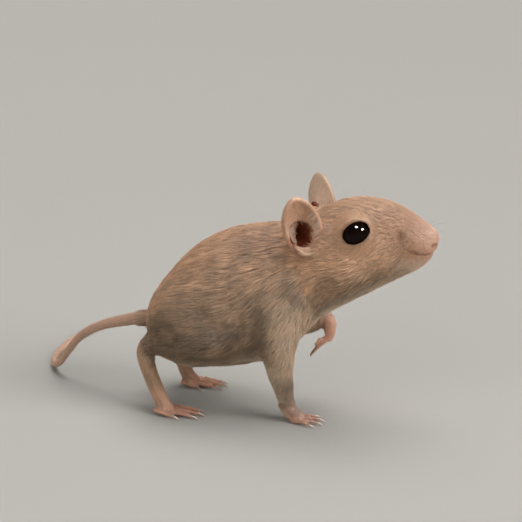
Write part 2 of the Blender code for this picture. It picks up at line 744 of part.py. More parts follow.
def forepaw(side, neighbours):
    """The right paw stands on the floor. The left one hangs from its lifted wrist."""
    digits = []
    for i in range(FINGER_COUNT):
        spread = i - (FINGER_COUNT - 1) / 2
        length = FINGER_LENGTH if side == RIGHT else HANGING_LENGTH
        length *= 1.0 - OUTER_FINGER_SHORTER * spread * spread
        if side == RIGHT:
            x, y, z = PALM_FRONT
            root = (x - FINGER_SETBACK * spread * spread, (y + spread * FINGER_SPACING) * side, z)
            way = (1.0, FINGER_FANS[side] * spread * side, 0.0)
            digits.append((root, way, length, FINGER_RADIUS, FINGER_ARCH, 0.0))
        else:
            x, y, z = HANGING_FRONT
            root = (x, (y + spread * FINGER_SPACING) * side, z)
            way = (HANGING_WAY[0], FINGER_FANS[side] * spread * side, HANGING_WAY[1])
            digits.append((root, way, length, FINGER_RADIUS, FINGER_ARCH, HANGING_CURL))
    palm = RIGHT_PALM if side == RIGHT else LEFT_PALM
    thumb_root, thumb_way = THUMBS[side]
    digits.append((thumb_root, thumb_way, THUMB_LENGTH, THUMB_RADIUS, 0.0, 0.0))
    word = "right" if side == RIGHT else "left"
    return paw("forepaw_" + word, mirrored(palm, side), digits, WRISTS[side], neighbours, side == RIGHT)


def hindfoot(side, neighbours):
    """A long foot on its toes, heel up. The first and last toe start further back and higher."""
    digits = []
    for i, length in enumerate(TOE_LENGTHS):
        spread = i - (len(TOE_LENGTHS) - 1) / 2
        y = (SOLE_FRONT[1] + spread * TOE_SPACING) * side
        way = (1.0, TOE_SPREAD * spread * side, 0.0)
        if i in (0, len(TOE_LENGTHS) - 1):
            root = (SOLE_FRONT[0] - OUTER_TOE_BACK, y, OUTER_TOE_HEIGHT)
            drop = OUTER_TOE_HEIGHT - TOE_HEIGHT
            digits.append((root, way, length, OUTER_TOE_RADIUS, 0.0, drop))
        else:
            root = (SOLE_FRONT[0] - TOE_SETBACK * abs(spread), y, TOE_HEIGHT)
            digits.append((root, way, length, TOE_RADIUS, TOE_ARCH, 0.0))
    word = "right" if side == RIGHT else "left"
    return paw("hindfoot_" + word, mirrored(SOLE, side), digits, ankle(side), neighbours, True)


def eye(side):
    word = "right" if side == RIGHT else "left"
    return ball("eye_" + word, eye_centre(side), EYE_RADIUS)


def stand_on_origin(nodes):
    """Moves every node so that the middle of the whole's box is over the origin."""
    points = [vertex.co for node in nodes for vertex in node.data.vertices]
    low = Vector([min(point[i] for point in points) for i in range(3)])
    high = Vector([max(point[i] for point in points) for i in range(3)])
    shift = Matrix.Translation((-(low.x + high.x) / 2, -(low.y + high.y) / 2, 0.0))
    for node in nodes:
        node.data.transform(shift)
    print("shift in mm", [round(v / SCALE, 3) for v in shift.translation])


def build():
    whole = flesh()
    torso, neck, head = trunk_nodes(whole)
    legs = limbs_from(whole)
    nodes = [torso, neck, head] + legs + tail_nodes(torso)
    remove([whole])
    finish_head(head)
    for node in (head, neck):
        combine(node, [ear_hollow(side) for side in (RIGHT, LEFT)], "DIFFERENCE")
        keep_largest(node)
    for side, (foreleg, hindleg) in ((RIGHT, legs[:2]), (LEFT, legs[2:])):
        nodes += [ear(side, [head, neck]), eye(side)]
        nodes += [forepaw(side, [foreleg]), hindfoot(side, [hindleg, torso])]
    collection = bpy.data.collections.new("gerbil")
    bpy.context.scene.collection.children.link(collection)
    for node in nodes:
        finish(node, SURFACES.get(node.name.split("_")[0], COAT))
        bpy.context.scene.collection.objects.unlink(node)
        collection.objects.link(node)
    stand_on_origin(nodes)


for old in list(bpy.data.objects):
    bpy.data.objects.remove(old, do_unlink=True)
build()
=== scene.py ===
# %% [markdown]
# A young gerbil, life size, standing still with its left forepaw lifted. The measured solids
# give its outline out to the tips of the coat. This script dresses them: one skin under the
# coat, lids, eyes, nose, ears, claws, whiskers, and the coat itself, tuft by tuft.
# Everything is in metres, in the frame of the solids.

# %% Load the measured solids
import json
import math

import bmesh
import bpy
import numpy as np
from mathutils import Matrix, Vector, kdtree, noise

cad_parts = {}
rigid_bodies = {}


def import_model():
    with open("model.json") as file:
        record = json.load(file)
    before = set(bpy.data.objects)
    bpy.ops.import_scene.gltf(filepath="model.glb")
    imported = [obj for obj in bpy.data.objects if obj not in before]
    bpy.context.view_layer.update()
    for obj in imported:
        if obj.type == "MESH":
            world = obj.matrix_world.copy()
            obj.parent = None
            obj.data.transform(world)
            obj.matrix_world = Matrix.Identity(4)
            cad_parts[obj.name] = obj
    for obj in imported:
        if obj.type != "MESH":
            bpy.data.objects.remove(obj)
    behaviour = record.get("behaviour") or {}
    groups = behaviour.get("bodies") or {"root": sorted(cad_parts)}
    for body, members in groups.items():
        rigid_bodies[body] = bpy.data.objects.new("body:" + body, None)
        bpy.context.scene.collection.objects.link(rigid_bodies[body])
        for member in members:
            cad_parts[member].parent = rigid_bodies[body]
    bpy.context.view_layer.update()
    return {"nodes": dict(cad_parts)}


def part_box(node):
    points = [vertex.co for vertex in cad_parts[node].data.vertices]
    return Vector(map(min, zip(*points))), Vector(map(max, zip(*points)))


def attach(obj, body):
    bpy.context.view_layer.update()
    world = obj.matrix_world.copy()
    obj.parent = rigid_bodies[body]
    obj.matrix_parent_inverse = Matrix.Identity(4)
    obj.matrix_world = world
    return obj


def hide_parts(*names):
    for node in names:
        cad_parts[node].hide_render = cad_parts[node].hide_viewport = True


for old in list(bpy.data.objects):
    bpy.data.objects.remove(old, do_unlink=True)
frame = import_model()
nodes = frame["nodes"]

# %% [markdown]
# The animal is easiest to describe in millimetres from a point on the floor under its middle:
# x ahead, y to its left from the mid plane, z up. Where that point lies is read from the eyes,
# so that everything follows the solids.

# %% The animal's own millimetres
MM = 0.001
EYE_AHEAD = 33.2
RIGHT, LEFT = -1, 1
rng = np.random.default_rng(7)


def middle_of(node):
    low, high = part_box(node)
    return (low + high) / 2


between_eyes = (middle_of("eye_right") + middle_of("eye_left")) / 2
under_middle = np.array((between_eyes.x - EYE_AHEAD * MM, between_eyes.y, 0.0))


def place(x, y, z):
    """A point given in the animal's millimetres, in metres in the frame of the solids."""
    return Vector(under_middle) + Vector((x, y, z)) * MM


def in_mm(points):
    """Points of the frame, as an array, in the animal's own millimetres."""
    return (points - under_middle) / MM


print("under the middle, mm:", np.round(under_middle / MM, 2))

# %% Small helpers for numbers and selection


def ease(values, low, high):
    """0 below low, 1 above high, and a smooth step between them. It runs backwards if low is above high."""
    share = np.clip((values - low) / (high - low), 0.0, 1.0)
    return share * share * (3.0 - 2.0 * share)


def unit(vectors):
    return vectors / np.maximum(np.linalg.norm(vectors, axis=-1, keepdims=True), 1e-12)


def paint(code):
    """A colour as a painter's six figure code, as the linear red, green and blue that shaders use."""
    shares = [int(code[i:i + 2], 16) / 255 for i in (0, 2, 4)]
    return tuple(s / 12.92 if s <= 0.04045 else ((s + 0.055) / 1.055) ** 2.4 for s in shares) + (1.0,)


def pick_only(thing):
    """Selects one object alone and makes it the active one."""
    for other in bpy.context.view_layer.objects:
        other.select_set(False)
    thing.select_set(True)
    bpy.context.view_layer.objects.active = thing


def apply_all(thing):
    pick_only(thing)
    for modifier in list(thing.modifiers):
        bpy.ops.object.modifier_apply(modifier=modifier.name)


def add_smoothing(thing, name, factor, rounds, group=""):
    modifier = thing.modifiers.new(name, "SMOOTH")
    modifier.factor = factor
    modifier.iterations = rounds
    modifier.vertex_group = group


def join_all(things):
    """Joins objects into the first of them and returns it."""
    pick_only(things[0])
    for thing in things:
        thing.select_set(True)
    bpy.ops.object.join()
    return bpy.context.object


def corners_of(mesh):
    """Every vertex of a mesh and its normal, as two arrays."""
    spots = np.empty(len(mesh.vertices) * 3, np.float32)
    mesh.vertices.foreach_get("co", spots)
    facing = np.empty(len(mesh.vertices) * 3, np.float32)
    mesh.vertices.foreach_get("normal", facing)
    return spots.reshape(-1, 3).astype(float), facing.reshape(-1, 3).astype(float)


def move_corners(mesh, spots):
    mesh.vertices.foreach_set("co", spots.astype(np.float32).ravel())
    mesh.update()


# %% [markdown]
# The camera looks at the animal's right side, a little from above and from its front, as a
# person does who leans over it. It stands about 30 cm away, which is where the near and the far
# ear have the sizes that they have in the picture.

# %% Camera
AZIMUTH = math.radians(15.0)
ELEVATION = math.radians(15.0)
CAMERA_DISTANCE = 0.30
SENSOR = 36.0
IMAGE_WIDTH = 522
PIXEL_AT_AIM = 0.0002337
AIM = (7.66, 10.86, 31.74)

back_way = Vector((math.sin(AZIMUTH) * math.cos(ELEVATION), -math.cos(AZIMUTH) * math.cos(ELEVATION),
                   math.sin(ELEVATION)))
camera = bpy.data.objects.new("camera", bpy.data.cameras.new("camera"))
bpy.context.scene.collection.objects.link(camera)
camera.location = place(*AIM) + back_way * CAMERA_DISTANCE
camera.rotation_mode = "QUATERNION"
camera.rotation_quaternion = (-back_way).to_track_quat("-Z", "Y")
camera.data.sensor_width = SENSOR
camera.data.lens = SENSOR * CAMERA_DISTANCE / (IMAGE_WIDTH * PIXEL_AT_AIM)
camera.data.clip_start = 0.01
bpy.context.scene.camera = camera
print("lens:", round(camera.data.lens, 1), "mm")

# %% [markdown]
# A pale floor and soft light, as in a photographer's tent. A wide soft light overhead lights the
# back and the top of the head, as the ceiling of the room does. A second one comes from in front
# of the animal and brings out muzzle and chest. A third, fainter one beside the camera fills the
# shadows of cheek, rump and ears. Two small panels only glint: they give the eye its pair of
# highlights.

# %% Floor and lamps
FLOOR_SIZE = 8.0
FLOOR_GREY = "a8a7a4"
ROOM_WHITE = "e9eaea"
ROOM_LIGHT = 0.18
# Each soft light: its way, power, softness in degrees and colour.
LIGHTS = {"ceiling": ((0.05, 0.28, 1.0), 2.1, 45.0, (1.0, 0.975, 0.94)),
          "front_light": ((0.92, -0.20, 0.46), 2.35, 35.0, (1.0, 0.96, 0.91)),
          "side_fill": ((-0.35, -0.85, 0.40), 1.15, 60.0, (1.0, 0.96, 0.90))}
GLINT_WAYS = ((0.06, 0.83, 0.55), (0.80, 0.48, 0.37))
GLINT_WIDTH = 0.10
GLINT_HEIGHT = 0.07
GLINT_DISTANCE = 0.35
GLINT_POWER = 9.0

bpy.context.scene.view_settings.view_transform = "Standard"


def stand_lamp(name, kind, way, power, colour):
    """A lamp that shines from this way towards the animal."""
    made = bpy.data.objects.new(name, bpy.data.lights.new(name, kind))
    bpy.context.scene.collection.objects.link(made)
    made.data.energy = power
    made.data.color = colour
    made.rotation_mode = "QUATERNION"
    made.rotation_quaternion = Vector(way).to_track_quat("Z", "Y")
    return made


def sky_lamp(name, way, power, softness, colour):
    made = stand_lamp(name, "SUN", way, power, colour)
    made.data.angle = math.radians(softness)
    made.visible_glossy = False
    return made


def glint(name, way):
    """A small panel that shows only as a reflection. Its way is given as seen through the camera."""
    turned = camera.rotation_quaternion @ Vector(way).normalized()
    made = stand_lamp(name, "AREA", turned, GLINT_POWER, (1.0, 1.0, 1.0))
    made.data.shape = "RECTANGLE"
    made.data.size = GLINT_WIDTH
    made.data.size_y = GLINT_HEIGHT
    made.location = Vector(middle_of("eye_right")) + turned * GLINT_DISTANCE
    made.visible_diffuse = False
    return made


pick_only(camera)
bpy.ops.mesh.primitive_plane_add(size=FLOOR_SIZE, location=(0.0, 0.0, -0.0001))
floor = bpy.context.object
floor.name = "floor"
floor_paint = bpy.data.materials.new("floor_paint")
floor_paint.use_nodes = True
floor_shader = floor_paint.node_tree.nodes["Principled BSDF"]
floor_shader.inputs["Base Color"].default_value = paint(FLOOR_GREY)
floor_shader.inputs["Roughness"].default_value = 0.9
floor_shader.inputs["Specular IOR Level"].default_value = 0.1
floor.data.materials.append(floor_paint)

world = bpy.data.worlds.new("room")
bpy.context.scene.world = world
world.use_nodes = True
world.node_tree.nodes["Background"].inputs["Color"].default_value = paint(ROOM_WHITE)
world.node_tree.nodes["Background"].inputs["Strength"].default_value = ROOM_LIGHT

for name, (way, power, softness, colour) in LIGHTS.items():
    sky_lamp(name, way, power, softness, colour)
for index, way in enumerate(GLINT_WAYS):
    glint("glint_" + str(index), way)

# %% [markdown]
# The skin is one surface over the whole animal. The solids are separate pieces with thin gaps,
# so a copy of each is let out by a little more than half a gap, the copies are joined, and a
# voxel remesh makes one skin of them with no seam. It is then smoothed, more on the broad body
# than on ears, lids and toes.

# %% Join the flesh into one skin
LET_OUT = 0.17 * MM
SKIN_CELL = 0.44 * MM
EYES = ("eye_right", "eye_left")


def flesh_copy(node, let_out):
    """A solid's shape as a mesh of its own, merged and let out by this much."""
    copy = bpy.data.objects.new("flesh_" + node, nodes[node].data.copy())
    bpy.context.scene.collection.objects.link(copy)
    pick_only(copy)
    bpy.ops.object.mode_set(mode="EDIT")
    bpy.ops.mesh.select_all(action="SELECT")
    bpy.ops.mesh.remove_doubles(threshold=0.000001)
    bpy.ops.transform.shrink_fatten(value=let_out)
    bpy.ops.object.mode_set(mode="OBJECT")
    return copy


flesh_nodes = sorted(set(nodes) - set(EYES))
skin = join_all([flesh_copy(node, LET_OUT) for node in flesh_nodes])
skin.name = "skin"
skin.data.name = "skin"
remesh = skin.modifiers.new("one_skin", "REMESH")
remesh.mode = "VOXEL"
remesh.voxel_size = SKIN_CELL
remesh.use_smooth_shade = True
apply_all(skin)
print("skin:", len(skin.data.vertices), "vertices")

# %% [markdown]
# Later steps ask which part of the body a point belongs to: how long the fur is, how pink the
# skin is. Spots are scattered over each solid, and a point takes its share from the nearest
# ones, so that the parts blend into one another over a millimetre or so.

# %% Which part a point belongs to
SPOT_AREA = 0.3 * MM * MM
NEAREST = 8


def scatter(mesh, area_each):
    """Seeded random spots over a mesh of triangles, evenly by area."""
    mesh.calc_loop_triangles()
    spots, _ = corners_of(mesh)
    corner = np.empty(len(mesh.loop_triangles) * 3, np.int32)
    mesh.loop_triangles.foreach_get("vertices", corner)
    a, b, c = (spots[corner.reshape(-1, 3)[:, i]] for i in range(3))
    area = np.linalg.norm(np.cross(b - a, c - a), axis=1) / 2
    which = rng.choice(len(area), size=max(12, int(area.sum() / area_each)), p=area / area.sum())
    u, v = rng.random((2, len(which)))
    over = u + v > 1
    u[over], v[over] = 1 - u[over], 1 - v[over]
    return a[which] + (b - a)[which] * u[:, None] + (c - a)[which] * v[:, None]


PARTS = {"body": ("torso",), "neck": ("neck",), "head": ("head",), "ear": ("ear_right", "ear_left"),
         "foreleg": ("foreleg_right", "foreleg_left"), "forepaw": ("forepaw_right", "forepaw_left"),
         "hindleg": ("hindleg_right", "hindleg_left"), "hindfoot": ("hindfoot_right", "hindfoot_left"),
         "tail": ("tail_root", "tail_middle", "tail_end")}
part_names = list(PARTS)
scattered = [(scatter(nodes[node].data, SPOT_AREA), number)
             for number, part in enumerate(part_names) for node in PARTS[part]]
spot_part = np.concatenate([np.full(len(spots), i) for spots, i in scattered])
spot_tree = kdtree.KDTree(len(spot_part))
for index, spot in enumerate(np.concatenate([spots for spots, _ in scattered])):
    spot_tree.insert(spot, index)
spot_tree.balance()


def eye_distance(points):
    """Millimetres from the middle of the nearer eye."""
    return np.minimum(*(np.linalg.norm(points - np.array(middle_of(eye)), axis=1) for eye in EYES)) / MM


def parts_at(points):
    """For each point, its share in each part of the body, by the part's name."""
    shares = np.zeros((len(points), len(part_names)))
    for row, point in enumerate(points):
        for _, index, _ in spot_tree.find_n(point, NEAREST):
            shares[row, spot_part[index]] += 1.0 / NEAREST
    return {part: shares[:, i] for i, part in enumerate(part_names)}


skin_spots, _ = corners_of(skin.data)
skin_parts = parts_at(skin_spots)
print("spots:", len(spot_part), {part: int(share.sum()) for part, share in skin_parts.items()})

# %% [markdown]
# The voxels leave small steps, and the solids' broad faces show on the flanks. Smoothing evens
# them out. It is weighted: strong on body, neck and upper legs, light where forms are small.

# %% Smooth the skin, broad parts most
BROAD_PARTS = ("body", "neck", "foreleg", "hindleg", "head")
BROAD_FROM_EYE = (3.6, 6.5)
BROAD_BEHIND_X = (44.0, 36.0)
BROAD_ROUNDS = 34
FINE_ROUNDS = 3
WEIGHT_STEPS = 20


def weighted_group(thing, name, weights):
    """A vertex group with one weight for each vertex, written in a few steps."""
    group = thing.vertex_groups.new(name=name)
    steps = np.round(weights * WEIGHT_STEPS).astype(int)
    for step in range(1, WEIGHT_STEPS + 1):
        members = np.flatnonzero(steps == step).tolist()
        if members:
            group.add(members, step / WEIGHT_STEPS, "REPLACE")


broad = sum(skin_parts[part] for part in BROAD_PARTS)
broad = broad * ease(eye_distance(skin_spots), *BROAD_FROM_EYE)
broad = broad * ease(in_mm(skin_spots)[:, 0], *BROAD_BEHIND_X)
weighted_group(skin, "broad", np.clip(broad, 0, 1))
add_smoothing(skin, "even_broad", 0.5, BROAD_ROUNDS, "broad")
add_smoothing(skin, "soften_all", 0.5, FINE_ROUNDS)
apply_all(skin)
print("smoothed:", len(skin.data.vertices), "vertices")

# %% [markdown]
# Face, ears and paws need finer forms than the rest, so their faces are split once more. The
# paws are then drawn onto the solid paws, which brings each toe back to its own shape.

# %% Split the skin finer on face, ears and paws
FACE_START = 37.0
FACE_LOW = 34.0
EYE_RING = 5.4
# The share of paw in a corner from which it starts to follow the solid paw, and follows it fully.
PAW_CORE = (0.75, 1.0)


def choose_faces(mesh, wanted):
    """Leaves exactly the wanted faces of a mesh selected, for the next operator in edit mode."""
    for layer in (mesh.vertices, mesh.edges):
        layer.foreach_set("select", np.zeros(len(layer), bool))
    mesh.polygons.foreach_set("select", wanted)
    mesh.update()


middles = np.empty(len(skin.data.polygons) * 3, np.float32)
skin.data.polygons.foreach_get("center", middles)
middles = middles.reshape(-1, 3).astype(float)
middles_mm = in_mm(middles)
middle_parts = parts_at(middles)
on_face = (middles_mm[:, 0] > FACE_START) & (middles_mm[:, 2] > FACE_LOW)
on_paw = middle_parts["forepaw"] + middle_parts["hindfoot"] > 0.6
choose_faces(skin.data, on_face | on_paw | (middle_parts["ear"] > 0.5) | (eye_distance(middles) < EYE_RING))
pick_only(skin)
bpy.ops.object.mode_set(mode="EDIT")
bpy.ops.mesh.subdivide(number_cuts=1, smoothness=0.6)
bpy.ops.mesh.quads_convert_to_tris(quad_method="BEAUTY", ngon_method="BEAUTY")
bpy.ops.object.mode_set(mode="OBJECT")

paw_nodes = [node for node in flesh_nodes if node.startswith(("forepaw", "hindfoot"))]
paw_form = join_all([flesh_copy(node, 0.0) for node in paw_nodes])
skin_spots, _ = corners_of(skin.data)
skin_parts = parts_at(skin_spots)
weighted_group(skin, "paws", ease(skin_parts["forepaw"] + skin_parts["hindfoot"], *PAW_CORE))
draw_on = skin.modifiers.new("draw_on", "SHRINKWRAP")
draw_on.target = paw_form
draw_on.wrap_method = "NEAREST_SURFACEPOINT"
draw_on.vertex_group = "paws"
add_smoothing(skin, "ease_paws", 0.4, 2, "paws")
apply_all(skin)
bpy.data.objects.remove(paw_form)
print("skin:", len(skin.data.polygons), "triangles")

# %% [markdown]
# How deep the coat is at each point. The solids stop at the tips of the coat, so the skin is
# drawn in by this depth: over a millimetre on the back, almost nothing on ears, lids and toes.

# %% Coat depth
NOSE_TIP = (50.8, 0.0, 42.8)
DEPTH = {"body": 1.35, "neck": 1.25, "head": 0.85, "ear": 0.10, "foreleg": 0.75, "forepaw": 0.12,
         "hindleg": 0.95, "hindfoot": 0.16, "tail": 0.30}
DEPTH_AT_NOSE = 0.10
NOSE_REACH = (1.0, 17.0)
DEPTH_AT_LID = 0.12
LID_REACH = (3.5, 6.0)
WRIST_HEIGHT = (13.0, 5.0)
WRIST_LOSS = 0.6


def blend_of(table, shares):
    return sum(shares[part] * value for part, value in table.items())


def nose_distance(points):
    return np.linalg.norm(in_mm(points) - np.array(NOSE_TIP), axis=1)


def toward_wrist(points, shares):
    """What is left of the coat's depth and length, down the forelegs to the wrists."""
    return 1 - WRIST_LOSS * shares["foreleg"] * ease(in_mm(points)[:, 2], *WRIST_HEIGHT)


def coat_depth(points, shares):
    """The coat's depth in millimetres at points of the skin."""
    depth = blend_of(DEPTH, shares)
    head_depth = DEPTH_AT_NOSE + (1 - DEPTH_AT_NOSE) * ease(nose_distance(points), *NOSE_REACH)
    depth *= 1 - shares["head"] * (1 - head_depth)
    depth *= DEPTH_AT_LID + (1 - DEPTH_AT_LID) * ease(eye_distance(points), *LID_REACH)
    return depth * toward_wrist(points, shares)


def keep_off_floor(points, clearance=0.03):
    points[:, 2] = np.maximum(points[:, 2], clearance * MM)
    return points


skin_spots, skin_facing = corners_of(skin.data)
skin_parts = parts_at(skin_spots)
depth = coat_depth(skin_spots, skin_parts)
still_out = 1 - ease(skin_parts["forepaw"] + skin_parts["hindfoot"], *PAW_CORE)
skin_spots -= skin_facing * (depth * MM + LET_OUT * still_out)[:, None]
move_corners(skin.data, keep_off_floor(skin_spots))
add_smoothing(skin, "calm", 0.4, 2)
apply_all(skin)
print("coat depth in mm:", round(float(depth.min()), 2), "to", round(float(depth.max()), 2))

# %% [markdown]
# The folds of the face and the ears' openings are pressed into the skin, as a taxidermist
# presses them into the wet skin: the line of the mouth, the fold behind the whisker pad, the
# nostrils, and the deep opening low in each ear.

# %% Press in the folds
# Lines in the animal's own millimetres, on its left. The other side is pressed alike.
MOUTH = ((50.0, 0.0, 39.5), (48.3, 1.7, 39.4), (45.9, 3.6, 39.8), (44.2, 4.7, 40.3), (42.7, 5.4, 40.1),
         (41.0, 6.3, 38.6))
PAD_FOLD = ((42.6, 4.6, 43.9), (42.7, 4.8, 42.9), (42.8, 5.1, 41.6), (42.5, 5.3, 40.4), (41.5, 5.9, 39.0))
LIP_CLEFT = ((51.0, 0.0, 41.4), (50.4, 0.0, 40.4), (49.6, 0.0, 39.5))
NOSTRIL = ((49.9, 1.0, 41.1), (49.2, 1.7, 41.3))
# Each line's half width and depth.
FOLDS = ((MOUTH, 0.36, 0.60), (PAD_FOLD, 0.70, 0.80), (LIP_CLEFT, 0.22, 0.25), (NOSTRIL, 0.34, 0.60))
# The middle of each ear and the way it opens.
EARS = {RIGHT: ((22.6, 10.3, 45.7), (0.50, 0.85, 0.03)), LEFT: ((22.9, 10.3, 47.0), (0.58, 0.80, 0.03))}
EAR_UP = (-0.16, 0.34, 0.93)
EAR_HOLE = (-0.6, -1.9)
EAR_HOLE_HALF = (2.8, 3.0)
EAR_HOLE_DEPTH = 2.2


def folded(points):
    """The animal's own millimetres with both sides folded onto its left."""
    spots = in_mm(points)
    spots[:, 1] = np.abs(spots[:, 1])
    return spots


def line_gap(spots, line):
    """Millimetres from a broken line, for spots in folded millimetres."""
    line = np.array(line)
    start, run = line[:-1], np.diff(line, axis=0)
    off = spots[:, None] - start[None]
    share = np.clip((off * run).sum(2) / (run * run).sum(1), 0, 1)
    return np.linalg.norm(off - share[..., None] * run, axis=2).min(1)


def ear_frame(side):
    """An ear's middle in millimetres, and its ways across to its front edge, up and out."""
    middle, out = EARS[side]
    flip = np.array((1, side, 1))
    out = unit(np.array(out) * flip)
    up = np.array(EAR_UP) * flip
    up = unit(up - out * (up @ out))
    return np.array(middle) * flip, np.cross(up, out) * -side, up, out


def in_ear(points, facing):
    """How far across, up and out points are from the ear on their side, and how far they face out."""
    spots = in_mm(points)
    result = np.zeros((len(points), 4))
    for side in (RIGHT, LEFT):
        middle, *ways = ear_frame(side)
        mine = spots[:, 1] * side > 0
        result[mine, :3] = (spots[mine] - middle) @ np.array(ways).T
        result[mine, 3] = facing[mine] @ ways[2]
    return result


def hole_gap(ear):
    """1 at the edge of the ear's opening, 0 in its middle."""
    off = (ear[:, :2] - np.array(EAR_HOLE)) / np.array(EAR_HOLE_HALF)
    return np.hypot(off[:, 0], off[:, 1])


skin_spots, skin_facing = corners_of(skin.data)
skin_parts = parts_at(skin_spots)
spots = folded(skin_spots)
pressed = np.zeros(len(spots))
for line, width, deep in FOLDS:
    pressed = np.maximum(pressed, deep * np.exp(-(line_gap(spots, line) / width) ** 2))
pressed *= skin_parts["head"]
skin_spots -= skin_facing * (pressed * MM)[:, None]
ear = in_ear(skin_spots, skin_facing)
hollow = skin_parts["ear"] * np.clip(1 - hole_gap(ear) ** 2, 0, 1) * ease(ear[:, 3], 0.1, 0.4)
# The ear's opening: kept bare of tufts and painted dark red brown, its own red skin darkened as painted
# shade.
ear_hole = skin_parts["ear"] * ease(hole_gap(ear), 1.14, 0.98) * ease(ear[:, 3], -0.1, 0.2)
for side in (RIGHT, LEFT):
    mine = in_mm(skin_spots)[:, 1] * side > 0
    skin_spots -= ear_frame(side)[3] * (hollow * mine * EAR_HOLE_DEPTH * MM)[:, None]
move_corners(skin.data, skin_spots)
add_smoothing(skin, "settle", 0.3, 1)
apply_all(skin)
print("pressed:", int((pressed > 0.1).sum()), "corners in folds,", int((hollow > 0.2).sum()), "in the ears")

# %% [markdown]
# Skin and coat carry the same markings, so both get them from one function of the place on
# the body: how warm the coat is (back, crown, muzzle), how pale (belly, chin, throat, the
# inside of the legs), how bare and pink (nose, ear cups, toes) and how dark (the rim of the
# lids, the ear's opening). Part of this is painted light and shade: warmth growing up trunk
# and head is partly painted light from above, breast and ear backs are lightened as painted
# light, and the ear's opening, the spot below it and the folds of the face are darkened as
# painted shade. They are kept with every point as one attribute of four shares.

# %% Where the markings are
NOSE_PAD = (50.2, 0.0, 42.3)
# Where the painted shadow under the base of the ear lies, across and up in the ear's frame.
EAR_NOTCH_SHADOW = (-2.9, -4.6)
# The height of the animal's back and of its belly, along its length.
BACK_X = (-16, -5, 8, 20, 28, 38, 50)
TOP_Z = (24, 37, 43, 45, 50, 51, 45)
LOW_Z = (15, 10, 11, 16, 26, 31, 37)
# Each range says where a marking starts and where it is full. A rise is 0 on the belly's line
# and 1 on the back's, a facing is 1 where the skin looks up, and the rest are millimetres.
# On trunk and head the coat grows warmer and lighter with the rise: partly its own warm back and crown,
# partly painted light from above, with painted shade low on the flanks and jaw.
TRUNK_TOP_LIGHT_RISE = (0.25, 1.05)
HEAD_TOP_LIGHT_RISE = (0.0, 0.5)
BELLY_RISE = (0.2, -0.05)
BELLY_FACING = (0.05, -0.55)
BREAST_X = ((14.0, 19.0), (28.0, 24.0))
BREAST_Z = ((9.0, 15.0), (34.0, 26.0))
CHIN_X = (40.5, 45.5)
CHIN_Z = (39.6, 37.4)
INNER_LEG_Y = (8.0, 5.5)
INNER_LEG_Z = (22.0, 15.0)
MUZZLE_REACH = (16.0, 6.0)
BLUSH_REACH = (12.0, 4.0)
SNOUT_REACH = (8.0, 3.0)
SNOUT_Z = (40.0, 42.0)
NOSE_PAD_REACH = (2.1, 0.9)
NOSE_PAD_X = (49.2, 50.2)
LIPS_X = (42.5, 46.0)
EAR_INSIDE = (0.0, 0.4)
EAR_BASE = (-3.9, -5.3)
CUP_HEIGHT = (0.5, -3.5)
PAW_Z = (9.0, 5.0)
SOLE_FACING = (-0.2, -0.7)
SOLE_Z = (2.2, 1.0)
LIFTED_Z = (9.0, 13.0)
LID_EDGE = (3.45, 3.25)
# How far a mark reaches to each side of its line or spot. The dark of the folds, the mouth and the nostrils
# is painted shade.
FOLD_HALF = 0.72
MOUTH_HALF = 0.30
LIP_HALF = 0.7
NOSTRIL_HALF = 0.46
# How far that painted shadow at the ear's base reaches.
EAR_NOTCH_SHADOW_HALF = 0.75


def line_mark(spots, line, half):
    """1 on a line of the face, and less with the distance from it."""
    return np.exp(-(line_gap(spots, line) / half) ** 2)


def breast_and_front_light_at(spots):
    """1 on the breast, before and above the forelegs, where the coat is painted paler and warmer: partly the
    pale breast, partly painted light from the front lamp on the shoulders.
    """
    x, _, z = spots.T
    ahead = ease(x, *BREAST_X[0]) * ease(x, *BREAST_X[1])
    return ahead * ease(z, *BREAST_Z[0]) * ease(z, *BREAST_Z[1])


def warm_and_top_light_at(nose_gap, spots, rise, shares):
    """Warm fawn on the back, the crown, the muzzle and the ears, and a little on breast and tail. On trunk
    and head it grows with height: partly the coat's own warm back, partly painted light from above, with
    painted shade low on the flanks and jaw.
    """
    # On the breast the warmth is partly painted light from the front lamp.
    trunk_warmth_and_top_light = np.maximum(0.05 + 0.90 * ease(rise, *TRUNK_TOP_LIGHT_RISE), 0.55 * breast_and_front_light_at(spots))
    warm = trunk_warmth_and_top_light + shares["head"] * (ease(rise, *HEAD_TOP_LIGHT_RISE) - trunk_warmth_and_top_light)
    muzzle = shares["head"] * ease(nose_gap, *MUZZLE_REACH)
    return np.maximum.reduce([warm, muzzle, shares["ear"], 0.6 * (shares["tail"] + shares["hindfoot"])])


def pale_at(nose_gap, spots, rise, facing, shares, shell):
    """Cream on the belly, the chin, the snout, the inside of the legs and the tail, and as painted light on
    the breast and on the ears' backs.
    """
    x, y, z = spots.T
    belly = ease(rise, *BELLY_RISE) * ease(facing[:, 2], *BELLY_FACING)
    chin = 0.75 * shares["head"] * ease(x, *CHIN_X) * ease(z, *CHIN_Z)
    legs = shares["foreleg"] + shares["hindleg"]
    inner_leg = 0.5 * legs * ease(y, *INNER_LEG_Y) * ease(z, *INNER_LEG_Z)
    snout = 0.35 * shares["head"] * ease(nose_gap, *SNOUT_REACH) * ease(z, *SNOUT_Z)
    # On the ears' backs the cream is partly their pale fur and partly painted light shining through the thin
    # ear. On the breast it is partly painted light from the front lamp.
    return np.maximum.reduce([belly, chin, snout, 0.4 * breast_and_front_light_at(spots), inner_leg, 0.75 * shares["tail"],
                              0.9 * shell])


